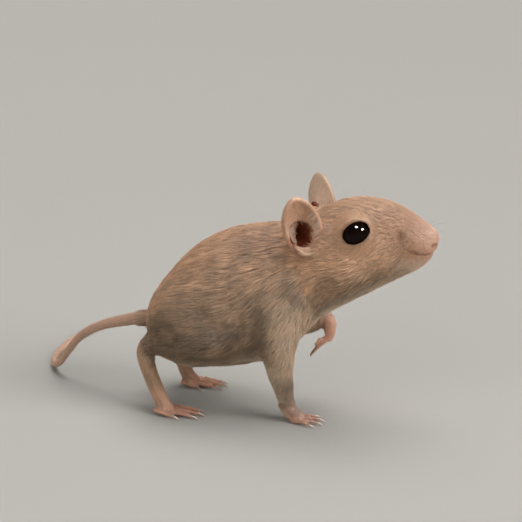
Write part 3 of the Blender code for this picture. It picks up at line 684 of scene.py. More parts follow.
def bare_at(nose_gap, spots, facing, shares, ear, inside, shell):
    """Bare pink on the nose pad, the lips, the ears' cups, the toes and the lifted paw."""
    x, _, z = spots.T
    nose = 0.75 * ease(gap_to(spots, NOSE_PAD), *NOSE_PAD_REACH) * ease(x, *NOSE_PAD_X)
    lips = 0.6 * shares["head"] * line_mark(spots, MOUTH, LIP_HALF) * ease(x, *LIPS_X)
    blush = 0.35 * shares["head"] * ease(nose_gap, *BLUSH_REACH)
    cup = inside * (0.2 + 0.6 * ease(ear[:, 1], *CUP_HEIGHT))
    soles = np.maximum(ease(facing[:, 2], *SOLE_FACING), ease(z, *SOLE_Z))
    toes = (shares["forepaw"] + shares["hindfoot"]) * ease(z, *PAW_Z) * (0.3 + 0.4 * soles)
    lifted = 0.8 * shares["forepaw"] * ease(z, *LIFTED_Z)
    # The ears' backs get a little pink as painted light shining through them.
    bare = np.maximum.reduce([nose, lips, blush, cup, 0.25 * shell, toes, lifted, 0.45 * shares["tail"]])
    return bare * (1 - 0.8 * shares["ear"] * ease(ear[:, 1], *EAR_BASE))


def markings_at(points, facing, shares, hole):
    """Warm, pale, bare and dark, each from 0 to 1, at points of the skin. In the ears' openings hole is 1."""
    spots, nose_gap = folded(points), nose_distance(points)
    low_line = np.interp(spots[:, 0], BACK_X, LOW_Z)
    rise = (spots[:, 2] - low_line) / (np.interp(spots[:, 0], BACK_X, TOP_Z) - low_line)
    ear = in_ear(points, facing)
    inside = shares["ear"] * ease(ear[:, 3], *EAR_INSIDE)
    shell = shares["ear"] - inside
    warm = warm_and_top_light_at(nose_gap, spots, rise, shares)
    pale = pale_at(nose_gap, spots, rise, facing, shares, shell)
    bare = bare_at(nose_gap, spots, facing, shares, ear, inside, shell)
    lids = ease(eye_distance(points), *LID_EDGE)
    # The fold behind the whisker pad, the mouth line and the nostrils are darkened as painted shade in their
    # creases.
    folds = 0.9 * shares["head"] * line_mark(spots, PAD_FOLD, FOLD_HALF)
    mouth = 0.75 * shares["head"] * line_mark(spots, MOUTH, MOUTH_HALF)
    nostril = shares["head"] * line_mark(spots, NOSTRIL, NOSTRIL_HALF)
    # A painted shadow where the base of the ear meets the head.
    notch_shadow = 0.7 * inside * np.exp(-(gap_to(ear[:, :2], EAR_NOTCH_SHADOW) / EAR_NOTCH_SHADOW_HALF) ** 2)
    dark = np.maximum.reduce([lids, folds, mouth, nostril, hole, notch_shadow])
    # Where it is warm, a dark mark is red brown: the painted shade of the ear's opening and of the folds of
    # the face. Elsewhere, as on the lids, it is nearly black.
    warm = np.maximum(warm, np.maximum(hole > 0.02, (folds + mouth + nostril) > 0.05))
    return np.clip(np.stack([warm, pale, bare, dark], 1), 0, 1)


def ear_base(points, facing, shares):
    """1 on the lowest part of an ear, which the fur of the head grows over."""
    return shares["ear"] * ease(in_ear(points, facing)[:, 1], *EAR_BASE)


def gap_to(spots, spot):
    return np.linalg.norm(spots - np.array(spot), axis=1)


def keep_markings(mesh, shares_of_four):
    layer = mesh.attributes.new("markings", "FLOAT_COLOR", "POINT")
    layer.data.foreach_set("color", shares_of_four.astype(np.float32).ravel())


# %% [markdown]
# One node group turns the markings into a colour, and both the skin's and the coat's material
# use it. Its other inputs say how far along a hair the point is, and how light that hair is:
# a gerbil's hair is slate grey at its root and fawn at its tip.

# %% The coat's colours as a node group
# Grey fawn colours the lower flanks, legs and jaw: the coat's greyer tone there, darkened as painted shade.
SHADED_GREY_FAWN = "7a6754"
FAWN = "ad8e72"
WARM_FAWN = "d0a584"
CREAM = "e2cdb4"
SLATE = "75685f"
PINK = "cf9c86"
DEEP_PINK = "b07663"
# Red brown of the ear's opening and the face's folds: their own red skin, darkened as painted shade.
LID_BROWN = "1c0f0c"
SHADED_RED_BROWN = "66301f"
ROOT_SLATE = 0.48
DARKEST_HAIR = 0.70
LIGHTEST_HAIR = 1.24
BLOTCHES = 260.0
BLUSHES = 900.0


def socket(group, name, kind, way, value=None):
    made = group.interface.new_socket(name=name, in_out=way, socket_type=kind)
    if value is not None:
        made.default_value = value
    return made


def give(tree, entry, given):
    """Links a socket to an input, or sets a value on it."""
    if isinstance(given, bpy.types.NodeSocket):
        tree.links.new(given, entry)
    else:
        entry.default_value = given


def mix(tree, share, first, second, mode="MIX"):
    """A mix of two colours. Each argument is a socket or a value."""
    node = tree.nodes.new("ShaderNodeMix")
    node.data_type = "RGBA"
    node.blend_type = mode
    give(tree, node.inputs[0], share)
    give(tree, node.inputs[6], first)
    give(tree, node.inputs[7], second)
    return node.outputs[2]


def sums(tree, kind, first, second):
    node = tree.nodes.new("ShaderNodeMath")
    node.operation = kind
    give(tree, node.inputs[0], first)
    give(tree, node.inputs[1], second)
    return node.outputs[0]


def spread(tree, value, low, high, to_low, to_high):
    """A value moved from one range to another and kept inside it."""
    node = tree.nodes.new("ShaderNodeMapRange")
    for entry, given in zip(node.inputs[:5], (value, low, high, to_low, to_high)):
        give(tree, entry, given)
    return node.outputs[0]


def cloud(tree, scale, detail=2.0, roughness=0.5):
    """Soft noise over the piece, with so many blotches to a metre."""
    where = tree.nodes.new("ShaderNodeTexCoord")
    node = tree.nodes.new("ShaderNodeTexNoise")
    tree.links.new(where.outputs["Object"], node.inputs["Vector"])
    node.inputs["Scale"].default_value = scale
    node.inputs["Detail"].default_value = detail
    node.inputs["Roughness"].default_value = roughness
    return node.outputs["Fac"]


def gerbil_colours():
    group = bpy.data.node_groups.new("gerbil_colours", "ShaderNodeTree")
    socket(group, "Markings", "NodeSocketColor", "INPUT")
    socket(group, "Dark", "NodeSocketFloat", "INPUT", 0.0)
    socket(group, "Along", "NodeSocketFloat", "INPUT", 0.5)
    socket(group, "Light", "NodeSocketFloat", "INPUT", 0.5)
    socket(group, "Colour", "NodeSocketColor", "OUTPUT")
    given = group.nodes.new("NodeGroupInput")
    apart = group.nodes.new("ShaderNodeSeparateColor")
    group.links.new(given.outputs["Markings"], apart.inputs[0])
    warm, pale, bare = apart.outputs[0], apart.outputs[1], apart.outputs[2]
    patchy = spread(group, cloud(group, BLOTCHES), 0.35, 0.65, -0.18, 0.18)
    warm = spread(group, sums(group, "ADD", warm, patchy), 0.0, 1.0, 0.0, 1.0)
    lower = mix(group, spread(group, warm, 0.0, 0.5, 0.0, 1.0), paint(SHADED_GREY_FAWN), paint(FAWN))
    tip = mix(group, spread(group, warm, 0.5, 1.0, 0.0, 1.0), lower, paint(WARM_FAWN))
    tip = mix(group, pale, tip, paint(CREAM))
    root = mix(group, ROOT_SLATE, tip, paint(SLATE))
    ripe = spread(group, given.outputs["Along"], 0.05, 0.75, 0.0, 1.0)
    hair = mix(group, ripe, root, tip)
    shade = spread(group, given.outputs["Light"], 0.0, 1.0, DARKEST_HAIR, LIGHTEST_HAIR)
    grey = group.nodes.new("ShaderNodeCombineColor")
    for entry in grey.inputs[:3]:
        group.links.new(shade, entry)
    hair = mix(group, 1.0, hair, grey.outputs[0], "MULTIPLY")
    blush = spread(group, cloud(group, BLUSHES), 0.3, 0.7, 0.0, 0.35)
    pink = mix(group, blush, paint(PINK), paint(DEEP_PINK))
    colour = mix(group, bare, hair, pink)
    # Dark marks: the lids' own near black, and in warm places the painted shade of the ears' openings and the
    # face's folds in red brown.
    deep = mix(group, warm, paint(LID_BROWN), paint(SHADED_RED_BROWN))
    colour = mix(group, given.outputs["Dark"], colour, deep)
    out = group.nodes.new("NodeGroupOutput")
    group.links.new(colour, out.inputs["Colour"])
    return group


colours = gerbil_colours()
print("colour group:", len(colours.nodes), "nodes")

# %% Materials for skin and coat


def new_material(name):
    made = bpy.data.materials.new(name)
    made.use_nodes = True
    return made, made.node_tree, made.node_tree.nodes["Principled BSDF"]


def attribute_of(tree, name):
    node = tree.nodes.new("ShaderNodeAttribute")
    node.attribute_name = name
    return node


def add_bumps(tree, shader, height, strength, deep):
    """Fine bumps on a surface, so many metres deep."""
    bumps = tree.nodes.new("ShaderNodeBump")
    bumps.inputs["Strength"].default_value = strength
    bumps.inputs["Distance"].default_value = deep
    tree.links.new(height, bumps.inputs["Height"])
    tree.links.new(bumps.outputs["Normal"], shader.inputs["Normal"])


def mottled(name, first, second, scale, detail, low, roughness, specular):
    """A material whose colour wavers between two in soft blotches, the softer the smaller low is."""
    made, tree, shader = new_material(name)
    share = spread(tree, cloud(tree, scale, detail), low, 1.0 - low, 0.0, 1.0)
    tree.links.new(mix(tree, share, paint(first), paint(second)), shader.inputs["Base Color"])
    shader.inputs["Roughness"].default_value = roughness
    shader.inputs["Specular IOR Level"].default_value = specular
    return made


def coloured(tree, along, light):
    """Places the colour group in a material and feeds it the piece's own markings."""
    marks = attribute_of(tree, "markings")
    node = tree.nodes.new("ShaderNodeGroup")
    node.node_tree = colours
    tree.links.new(marks.outputs["Color"], node.inputs["Markings"])
    tree.links.new(marks.outputs["Alpha"], node.inputs["Dark"])
    give(tree, node.inputs["Along"], along)
    give(tree, node.inputs["Light"], light)
    return node.outputs["Colour"], marks


def skin_material():
    made, tree, shader = new_material("skin_under_the_coat")
    colour, marks = coloured(tree, 0.6, spread(tree, cloud(tree, 1500.0, 3.0), 0.3, 0.7, 0.3, 0.7))
    tree.links.new(colour, shader.inputs["Base Color"])
    gloss = spread(tree, marks.outputs["Alpha"], 0.0, 0.8, 0.2, 0.0)
    tree.links.new(gloss, shader.inputs["Specular IOR Level"])
    add_bumps(tree, shader, cloud(tree, 5200.0, 3.0, 0.6), 0.5, 0.00006)
    rough = spread(tree, cloud(tree, 2400.0), 0.3, 0.7, 0.6, 0.8)
    tree.links.new(rough, shader.inputs["Roughness"])
    shader.inputs["Subsurface Weight"].default_value = 0.25
    shader.inputs["Subsurface Radius"].default_value = (1.0, 0.45, 0.3)
    shader.inputs["Subsurface Scale"].default_value = 0.0008
    return made


def coat_material():
    """Hair by hair: two fifths of its shade is its own, and the rest is its streak's."""
    made, tree, shader = new_material("coat")
    strand = attribute_of(tree, "strand")
    parts = tree.nodes.new("ShaderNodeSeparateXYZ")
    tree.links.new(strand.outputs["Vector"], parts.inputs[0])
    own = sums(tree, "MULTIPLY", parts.outputs[1], 0.4)
    led = sums(tree, "MULTIPLY", parts.outputs[2], 0.6)
    colour, _ = coloured(tree, parts.outputs[0], sums(tree, "ADD", own, led))
    tree.links.new(colour, shader.inputs["Base Color"])
    shader.inputs["Roughness"].default_value = 0.66
    shader.inputs["Specular IOR Level"].default_value = 0.12
    shader.inputs["Sheen Weight"].default_value = 0.05
    shader.inputs["Sheen Roughness"].default_value = 0.5
    return made


skin_finish = skin_material()
coat_finish = coat_material()
skin_spots, skin_facing = corners_of(skin.data)
skin_parts = parts_at(skin_spots)
skin_markings = markings_at(skin_spots, skin_facing, skin_parts, ear_hole)
keep_markings(skin.data, skin_markings)
skin.data.materials.clear()
skin.data.materials.append(skin_finish)
print("markings, mean:", np.round(skin_markings.mean(0), 2))

# %% [markdown]
# A gerbil's eye is a dark, wet ball that fills its lids, so deep a brown that it looks black. It
# is made as a fine ball in the place of the solid one, its front a little more curved, as a
# cornea is.

# %% Eyes
EYE_BLACK = "0a0403"
EYE_BROWN = "140906"
CORNEA_PUSH = 0.16
# The cornea starts where the ball turns this far from the way that the eye looks, as a cosine.
CORNEA_START = 0.6


def eye_look(side):
    """The way in which the eye of one side looks."""
    return Vector((0.22, 0.94 * side, 0.24)).normalized()


eye_finish = mottled("wet_eye", EYE_BLACK, EYE_BROWN, 700.0, 2.0, 0.35, 0.05, 0.09)
eye_balls = []
for eye, side in (("eye_right", RIGHT), ("eye_left", LEFT)):
    low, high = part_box(eye)
    looking = eye_look(side)
    pick_only(skin)
    bpy.ops.mesh.primitive_uv_sphere_add(segments=64, ring_count=40, radius=(high.z - low.z) / 2,
                                         location=middle_of(eye))
    ball = bpy.context.object
    ball.name = eye + "_ball"
    bpy.ops.object.transform_apply(location=True, rotation=True, scale=True)
    for vertex in ball.data.vertices:
        off = vertex.co - middle_of(eye)
        front = max(0.0, off.normalized().dot(looking) - CORNEA_START) / (1 - CORNEA_START)
        vertex.co += looking * (CORNEA_PUSH * MM * front ** 2)
    bpy.ops.object.shade_smooth()
    ball.data.materials.append(eye_finish)
    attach(ball, "root")
    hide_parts(eye)
    eye_balls.append(ball)
print("eyes:", [ball.name for ball in eye_balls])

# %% [markdown]
# The lids close round the eye as a narrow dark rim of bare skin. It is an oval that leans up
# towards the nose, where its front corner is drawn out to a point, and it lies on the ball of
# the eye all the way round. Outside it a thin soft edge with the coat's colour closes the step
# to the skin, and the fur of the lids starts there.

# %% Rims of the lids
LID_TILT = math.radians(30)
# Half length, half height, how far the corner is drawn out, half width and half thickness.
DARK_RIM = (2.62, 1.98, 0.52, 0.34, 0.20)
SOFT_EDGE = (3.06, 2.42, 0.60, 0.28, 0.30)
SOFT_EDGE_MARKS = (0.8, 0.0, 0.3, 0.12)
CORNER_WIDTH = 0.34
RIM_STEPS = 72
RIM_SIDES = 10


def rim_material():
    made, tree, shader = new_material("lid_rim")
    shader.inputs["Base Color"].default_value = paint("190b08")
    shader.inputs["Roughness"].default_value = 0.7
    shader.inputs["Specular IOR Level"].default_value = 0.0
    add_bumps(tree, shader, cloud(tree, 6000.0), 0.4, 0.00004)
    return made


def tube_faces(rings, sides, looped=False):
    """Faces of a tube through so many rings of so many corners, looped or closed at both ends."""
    faces = []
    for ring in range(rings if looped else rings - 1):
        low, high = ring * sides, (ring + 1) % rings * sides
        for j in range(sides):
            k = (j + 1) % sides
            faces.append((low + j, low + k, high + k, high + j))
    if not looped:
        last = (rings - 1) * sides
        faces += [tuple(range(sides))[::-1], tuple(range(last, last + sides))]
    return faces


def lid_ring(name, eye, side, sizes):
    """A closed oval ring on the ball of an eye, its corner drawn out towards the nose."""
    half_length, half_height, corner, half_width, half_thick = sizes
    low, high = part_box(eye)
    ball_radius = (high.z - low.z) / 2 / MM
    out = np.array(eye_look(side))
    rise = unit(np.array((0.0, 0.0, 1.0)) - out * out[2])
    ahead = np.cross(rise, out) * side * -1
    long_way = ahead * math.cos(LID_TILT) + rise * math.sin(LID_TILT)
    short_way = rise * math.cos(LID_TILT) - ahead * math.sin(LID_TILT)
    turn = np.linspace(-math.pi, math.pi, RIM_STEPS, endpoint=False)
    reach = 1 / np.hypot(np.cos(turn) / half_length, np.sin(turn) / half_height)
    reach += corner * np.exp(-(turn / CORNER_WIDTH) ** 2)
    away = np.cos(turn)[:, None] * long_way + np.sin(turn)[:, None] * short_way
    height = np.sqrt(np.maximum(ball_radius ** 2 - reach ** 2, 0.8 ** 2))
    line = away * reach[:, None] + out * height[:, None]
    normal = unit(line)
    across = unit(away - normal * (away * normal).sum(1)[:, None])
    bow = np.linspace(0, math.tau, RIM_SIDES, endpoint=False)
    rings = (line[:, None] + across[:, None] * (half_width * np.cos(bow))[None, :, None]
             + normal[:, None] * (half_thick * np.sin(bow))[None, :, None])
    points = np.array(middle_of(eye)) + rings.reshape(-1, 3) * MM
    return closed_piece(name, points, tube_faces(RIM_STEPS, RIM_SIDES, looped=True))


def closed_piece(name, points, faces):
    """A smooth closed mesh from points and faces, its faces turned outwards."""
    mesh = bpy.data.meshes.new(name)
    mesh.from_pydata([tuple(point) for point in points], [], faces)
    body = bmesh.new()
    body.from_mesh(mesh)
    bmesh.ops.recalc_face_normals(body, faces=body.faces)
    if body.calc_volume(signed=True) < 0:
        bmesh.ops.reverse_faces(body, faces=body.faces)
    body.to_mesh(mesh)
    body.free()
    mesh.shade_smooth()
    piece = bpy.data.objects.new(name, mesh)
    bpy.context.scene.collection.objects.link(piece)
    return piece


def joined_piece(name, shapes):
    """One closed piece of many shapes, each given by its points in millimetres and its faces."""
    points, faces, first = [], [], 0
    for spots, corners in shapes:
        points.append(keep_off_floor(under_middle + spots * MM, 0.01))
        faces += [tuple(corner + first for corner in face) for face in corners]
        first += len(spots)
    return closed_piece(name, np.concatenate(points), faces)


rim_finish = rim_material()
for eye, side in (("eye_right", RIGHT), ("eye_left", LEFT)):
    rim = lid_ring(eye.replace("eye", "rim"), eye, side, DARK_RIM)
    rim.data.materials.append(rim_finish)
    lid = lid_ring(eye.replace("eye", "lid"), eye, side, SOFT_EDGE)
    keep_markings(lid.data, np.tile(SOFT_EDGE_MARKS, (len(lid.data.vertices), 1)))
    lid.data.materials.append(skin_finish)
    for piece in (rim, lid):
        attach(piece, "root")
        print(piece.name, len(piece.data.polygons), "faces")


# %% [markdown]
# The coat lies in streams: back from the nose over the crown, down behind the ears, back and
# down over the flanks, and down the legs. A short list of combing strokes, each a place, a
# direction and a reach, says how it runs. Between the strokes the direction is blended, and
# it is laid flat on the skin. Both sides are combed alike.

# %% How the coat lies
STROKES = (
    ((50.0, 0.0, 43.5), (-0.6, 0.6, 0.3), 2.5),
    ((47.0, 0.5, 46.0), (-1.0, 0.1, 0.3), 4.0),
    ((42.0, 1.5, 49.0), (-1.0, 0.1, 0.2), 5.0),
    ((36.0, 2.0, 51.0), (-1.0, 0.1, 0.0), 6.0),
    ((28.0, 2.0, 50.0), (-1.0, 0.0, -0.1), 6.0),
    ((20.0, 2.0, 46.0), (-1.0, 0.0, -0.3), 6.0),
    ((46.5, 3.2, 42.0), (-1.0, 0.4, 0.0), 3.5),
    ((46.0, 3.0, 38.6), (-0.9, 0.2, -0.3), 3.5),
    ((43.0, 4.5, 42.5), (-1.0, 0.3, -0.15), 3.5),
    ((41.0, 5.5, 38.0), (-0.8, 0.1, -0.6), 3.5),
    ((45.0, 0.0, 36.0), (-1.0, 0.0, -0.2), 4.0),
    ((37.0, 7.0, 39.0), (-0.95, 0.1, -0.3), 4.0),
    ((30.0, 9.5, 37.0), (-1.0, 0.0, -0.12), 5.0),
    ((36.0, 4.0, 33.0), (-0.95, 0.0, -0.25), 4.5),
    ((29.0, 4.0, 28.5), (-0.9, 0.0, -0.4), 5.0),
    ((27.0, 9.0, 43.0), (-1.0, 0.1, -0.1), 3.5),
    ((21.0, 9.0, 37.0), (-0.9, 0.0, -0.35), 5.0),
    ((17.0, 7.0, 42.5), (-0.95, 0.1, -0.35), 5.0),
    ((16.0, 12.0, 30.0), (-0.6, 0.0, -0.75), 6.0),
    ((19.0, 10.0, 24.0), (-0.35, 0.0, -0.95), 5.0),
    ((17.0, 9.0, 16.0), (-0.15, 0.0, -1.0), 5.0),
    ((17.5, 7.5, 9.0), (0.0, 0.0, -1.0), 4.0),
    ((25.0, 0.0, 23.0), (-0.3, 0.0, -0.95), 6.0),
    ((18.0, 0.0, 14.0), (-0.9, 0.0, -0.3), 6.0),
    ((8.0, 3.0, 43.5), (-1.0, 0.0, -0.1), 7.0),
    ((-3.0, 3.0, 39.0), (-0.95, 0.0, -0.45), 7.0),
    ((8.0, 12.0, 33.0), (-0.9, 0.0, -0.4), 7.0),
    ((8.0, 14.0, 24.0), (-0.8, 0.0, -0.6), 6.0),
    ((8.0, 11.0, 15.0), (-0.85, 0.0, -0.5), 6.0),
    ((-3.0, 13.0, 31.0), (-0.95, 0.0, -0.25), 7.0),
    ((-4.0, 15.0, 22.0), (-1.0, 0.0, -0.12), 7.0),
    ((-11.0, 9.0, 29.0), (-0.75, 0.0, -0.6), 6.0),
    ((-13.5, 4.0, 25.0), (-0.5, 0.0, -0.85), 5.0),
    ((-11.0, 11.0, 19.0), (-1.0, 0.0, -0.2), 4.0),
    ((2.0, 0.0, 9.6), (-1.0, 0.0, 0.0), 8.0),
    ((-13.5, 9.5, 12.0), (0.15, 0.0, -1.0), 4.0),
    ((-11.5, 9.5, 5.5), (0.4, 0.0, -0.9), 3.0),
    ((-6.0, 9.5, 1.5), (1.0, 0.0, -0.1), 5.0),
    ((22.0, 6.8, 1.5), (1.0, 0.0, -0.1), 4.0),
)
LIFTED_STROKES = (
    ((20.0, 8.0, 18.8), (1.0, -0.2, 0.1), 3.0),
    ((24.8, 6.7, 20.0), (0.9, -0.1, -0.4), 2.5),
    ((25.0, 6.6, 15.5), (-0.1, 0.0, -1.0), 4.5),
)
TAIL_LINE = ((-13.5, 0.0, 19.3), (-22.5, 0.2, 18.1), (-29.0, 1.6, 15.9), (-35.0, 3.5, 12.4),
             (-39.4, 5.6, 7.4), (-43.2, 8.2, 3.0), (-46.8, 12.8, 1.0), (-49.0, 19.8, 0.9),
             (-49.6, 28.0, 0.9), (-48.8, 36.5, 1.0), (-47.2, 44.4, 0.8))
# Round an eye the coat parts, at this distance, over this width and with this pull.
EYE_PARTING = 3.2
PARTING_WIDTH = 1.2
PARTING_PULL = 1.6
EAR_FAN = 0.12
EAR_LEAN = 0.35
EAR_TURN = (-3.2, -1.0)


def combing():
    """All strokes on both sides, as arrays of places, directions and reaches."""
    rows = []
    for spot, way, reach in STROKES:
        for side in (RIGHT, LEFT):
            rows.append((spot[0], spot[1] * side, spot[2], way[0], way[1] * side, way[2], reach))
    for spot, way, reach in LIFTED_STROKES:
        rows.append(spot + way + (reach,))
    table = np.array(rows)
    return table[:, :3], unit(table[:, 3:6]), table[:, 6]


def tail_way(points_mm):
    """The tail's own direction at the nearest stretch of it."""
    line = np.array(TAIL_LINE)
    start, run = line[:-1], np.diff(line, axis=0)
    off = points_mm[:, None] - start[None]
    share = np.clip((off * run).sum(2) / (run * run).sum(1), 0, 1)
    gap = np.linalg.norm(off - share[..., None] * run, axis=2)
    return unit(run)[gap.argmin(1)]


def ear_way(points, facing):
    """Inside an ear the hairs hang from its tip over the opening. Outside they run up to its edge."""
    ear = in_ear(points, facing)
    inside = ease(ear[:, 3], -0.1, 0.3)[:, None]
    way = np.zeros((len(points), 3))
    for side in (RIGHT, LEFT):
        _, across, up, _ = ear_frame(side)
        mine = in_mm(points)[:, 1] * side > 0
        fan = ear[mine, 0:1] * EAR_FAN
        hang = ease(ear[mine, 1:2], *EAR_TURN)
        inner = unit(across * fan - up * (2 * hang - 1))
        outer = unit(across * (fan - EAR_LEAN) + up)
        way[mine] = inner * inside[mine] + outer * (1 - inside[mine])
    return unit(way)


def lie_at(points, facing, shares):
    """The way the coat lies at points of the skin, as unit arrows along the skin."""
    spots = in_mm(points)
    places, ways, reaches = combing()
    pull = np.zeros((len(points), 3))
    for spot, way, reach in zip(places, ways, reaches):
        weight = np.exp(-((spots - spot) ** 2).sum(1) / (2 * reach * reach)) + 1e-9
        pull += weight[:, None] * way
    pull = unit(pull)
    for eye in EYES:
        away = points - np.array(middle_of(eye))
        gap = np.linalg.norm(away, axis=1) / MM
        pull += unit(away) * (PARTING_PULL * np.exp(-((gap - EYE_PARTING) / PARTING_WIDTH) ** 2))[:, None]
    tail = shares["tail"][:, None]
    ear = (shares["ear"] * (1 - ear_base(points, facing, shares)))[:, None]
    pull = unit(pull) * (1 - tail) * (1 - ear) + tail_way(spots) * tail * 1.2 + ear_way(points, facing) * ear
    pull -= facing * (pull * facing).sum(1)[:, None]
    return unit(pull)


# %% [markdown]
# Tufts are grown on the skin as a groomer's eye sees them: a root, a way to lie, a length and a
# width. Each is a narrow blade, ridged along its middle and drawn out to a point. Every step of
# it is laid at its own height over the skin, so that it follows the body. Its tip leans to
# that of its neighbours, which gives the fine streaks of a real coat.

# %% Sizes of the tufts
LENGTH = {"body": 4.8, "neck": 4.4, "head": 3.5, "ear": 1.25, "foreleg": 3.0, "forepaw": 0.75,
          "hindleg": 3.4, "hindfoot": 0.85, "tail": 1.5}
LENGTH_AT_NOSE = 0.19
LENGTH_REACH = (5.5, 19.0)
LENGTH_AT_EYE = 0.36
SHORT_NEAR_EYE = (3.4, 7.0)
INSIDE_EAR = 1.5
LONGER_AT_EAR_BASE = 1.2
LONGER_ON_SHANK = 1.5
SHANK_HEIGHT = (5.0, 10.0)
LONGER_ON_TAIL_TIP = 1.3
TAIL_TIP_Y = (34.0, 43.0)
WIDTH_SHARE = 0.020
WIDTH_LEAST = 0.050
LAYERS = {"body": 7.5, "neck": 7.5, "head": 6.5, "ear": 2.6, "foreleg": 6.0, "forepaw": 1.7,
          "hindleg": 6.0, "hindfoot": 1.7, "tail": 3.5}
LAYERS_AT_NOSE = 0.42
STEPS = 3
RIDGE = 0.3


def tuft_length(points, facing, shares):
    length = blend_of(LENGTH, shares)
    ear = in_ear(points, facing)
    length *= 1 + shares["ear"] * (INSIDE_EAR - 1) * ease(ear[:, 3], 0.1, 0.5) * ease(ear[:, 1], -1.0, 1.0)
    length *= 1 + LONGER_AT_EAR_BASE * ear_base(points, facing, shares)
    length *= 1 + LONGER_ON_SHANK * shares["hindfoot"] * ease(in_mm(points)[:, 2], *SHANK_HEIGHT)
    near_nose = LENGTH_AT_NOSE + (1 - LENGTH_AT_NOSE) * ease(nose_distance(points), *LENGTH_REACH)
    length *= 1 - shares["head"] * (1 - near_nose)
    length *= LENGTH_AT_EYE + (1 - LENGTH_AT_EYE) * ease(eye_distance(points), *SHORT_NEAR_EYE)
    length *= toward_wrist(points, shares)
    tail_tip = shares["tail"] * ease(in_mm(points)[:, 1], *TAIL_TIP_Y)
    return length * (1 + LONGER_ON_TAIL_TIP * tail_tip)


def nearest_of(tree, points):
    """The index of the nearest spot in a tree for each point."""
    return np.fromiter((tree.find(point)[1] for point in points), int, len(points))


def tree_of(points):
    tree = kdtree.KDTree(len(points))
    for index, point in enumerate(points):
        tree.insert(point, index)
    tree.balance()
    return tree


skin.data.calc_loop_triangles()
corner_index = np.empty(len(skin.data.loop_triangles) * 3, np.int32)
skin.data.loop_triangles.foreach_get("vertices", corner_index)
corner_index = corner_index.reshape(-1, 3)
skin_tree = tree_of(skin_spots)
skin_depth = coat_depth(skin_spots, skin_parts)
skin_length = tuft_length(skin_spots, skin_facing, skin_parts)
skin_lie = lie_at(skin_spots, skin_facing, skin_parts)
skin_width = skin_length * WIDTH_SHARE + WIDTH_LEAST
layers = blend_of(LAYERS, skin_parts)
layers *= 1 - skin_parts["head"] * (1 - LAYERS_AT_NOSE) * ease(nose_distance(skin_spots), 15.0, 7.0)
layers *= 1 + 2.0 * skin_parts["hindfoot"] * ease(in_mm(skin_spots)[:, 2], *SHANK_HEIGHT)
density = layers / (skin_length * skin_width)
a, b, c = (skin_spots[corner_index[:, i]] for i in range(3))
face_area = np.linalg.norm(np.cross(b - a, c - a), axis=1) / 2 / MM ** 2
face_count = face_area * density[corner_index].mean(1)
print("skin area:", round(float(face_area.sum()) / 100, 1), "cm2, tufts wanted:", int(face_count.sum()))

# %% [markdown]
# For the bake each tuft needs a place of its own on a flat map. The skin is unwrapped by its
# own shape, and a tuft gets a small patch of the map where its root stands.

# %% Unwrap the skin
pick_only(skin)
bpy.ops.object.mode_set(mode="EDIT")
bpy.ops.mesh.select_all(action="SELECT")
bpy.ops.uv.smart_project(angle_limit=math.radians(66), island_margin=0.002)
bpy.ops.object.mode_set(mode="OBJECT")
skin.data.uv_layers.active.name = "OFBake"
skin_map = np.empty(len(skin.data.loops) * 2, np.float32)
skin.data.uv_layers["OFBake"].data.foreach_get("uv", skin_map)
skin_map = skin_map.reshape(-1, 2)
loop_index = np.empty(len(skin.data.loop_triangles) * 3, np.int32)
skin.data.loop_triangles.foreach_get("loops", loop_index)
loop_index = loop_index.reshape(-1, 3)
print("unwrapped:", len(skin_map), "corners")

# %% Choose the roots
BARE_ROUND_EYE = 3.35
# Half the tufts are left out where the skin is bare, and all in the ears' openings and the folds.
THIN_WHERE_BARE = (0.6, 1.0)
THIN_SHARE = 0.5
CLEAR_OPENING = 0.25
CLEAR_FOLD = 0.6
which = rng.choice(len(face_area), size=int(face_count.sum()), p=face_count / face_count.sum())
u, v = rng.random((2, len(which)))
over = u + v > 1
u[over], v[over] = 1 - u[over], 1 - v[over]
share = np.stack([1 - u - v, u, v], 1)


def at_roots(values):
    """A value that every corner of the skin has, at each root."""
    picked = values[corner_index[which]]
    return (picked * share.reshape(share.shape + (1,) * (picked.ndim - 2))).sum(1)


root_spots = at_roots(skin_spots)
root_facing = unit(at_roots(skin_facing))
root_depth, root_length = at_roots(skin_depth), at_roots(skin_length)
root_width = at_roots(skin_width)
root_markings = at_roots(skin_markings)
root_parts = {part: at_roots(values) for part, values in skin_parts.items()}
root_map = (skin_map[loop_index[which]] * share[..., None]).sum(1)
bald = eye_distance(root_spots) < BARE_ROUND_EYE
bald |= rng.random(len(which)) < ease(root_markings[:, 2], *THIN_WHERE_BARE) * THIN_SHARE
bald |= at_roots(ear_hole) > CLEAR_OPENING
bald |= (root_markings[:, 3] > CLEAR_FOLD) & (root_parts["head"] > 0.4)
keep = ~bald
print("roots:", int(keep.sum()))

# %% [markdown]
# Streaks: some tufts lead, and those round a leader lean their tips towards its tip and share
# its shade. Leaders stand about a sixth of a hair's length apart. On the back that is one tuft
# in seven, which gives broad streaks, and on the short fur of the face almost every tuft.

# %% Lay every tuft over the skin
LEADER_SPACING = 0.17
LEADER_PULL = 0.46
KEPT_APART = 0.35
TURN_SPREAD = 0.12
SWIRL = 0.24
SWIRL_SIZE = 5.0
# Tufts shorter than this waver less and differ less in shade.
FULL_LENGTH = 2.4
ROOT_DEPTH = 0.12
CONTRAST = {"body": 1.25, "neck": 1.25, "head": 1.5, "ear": 1.4, "foreleg": 0.8, "forepaw": 0.8,
            "hindleg": 0.9, "hindfoot": 0.8, "tail": 0.9}


def swirl_at(points):
    """A slow waver in the coat's direction, the same for all tufts of one place."""
    spots = in_mm(points) / SWIRL_SIZE
    return np.fromiter((noise.noise(Vector(spot)) for spot in spots), float, len(spots))


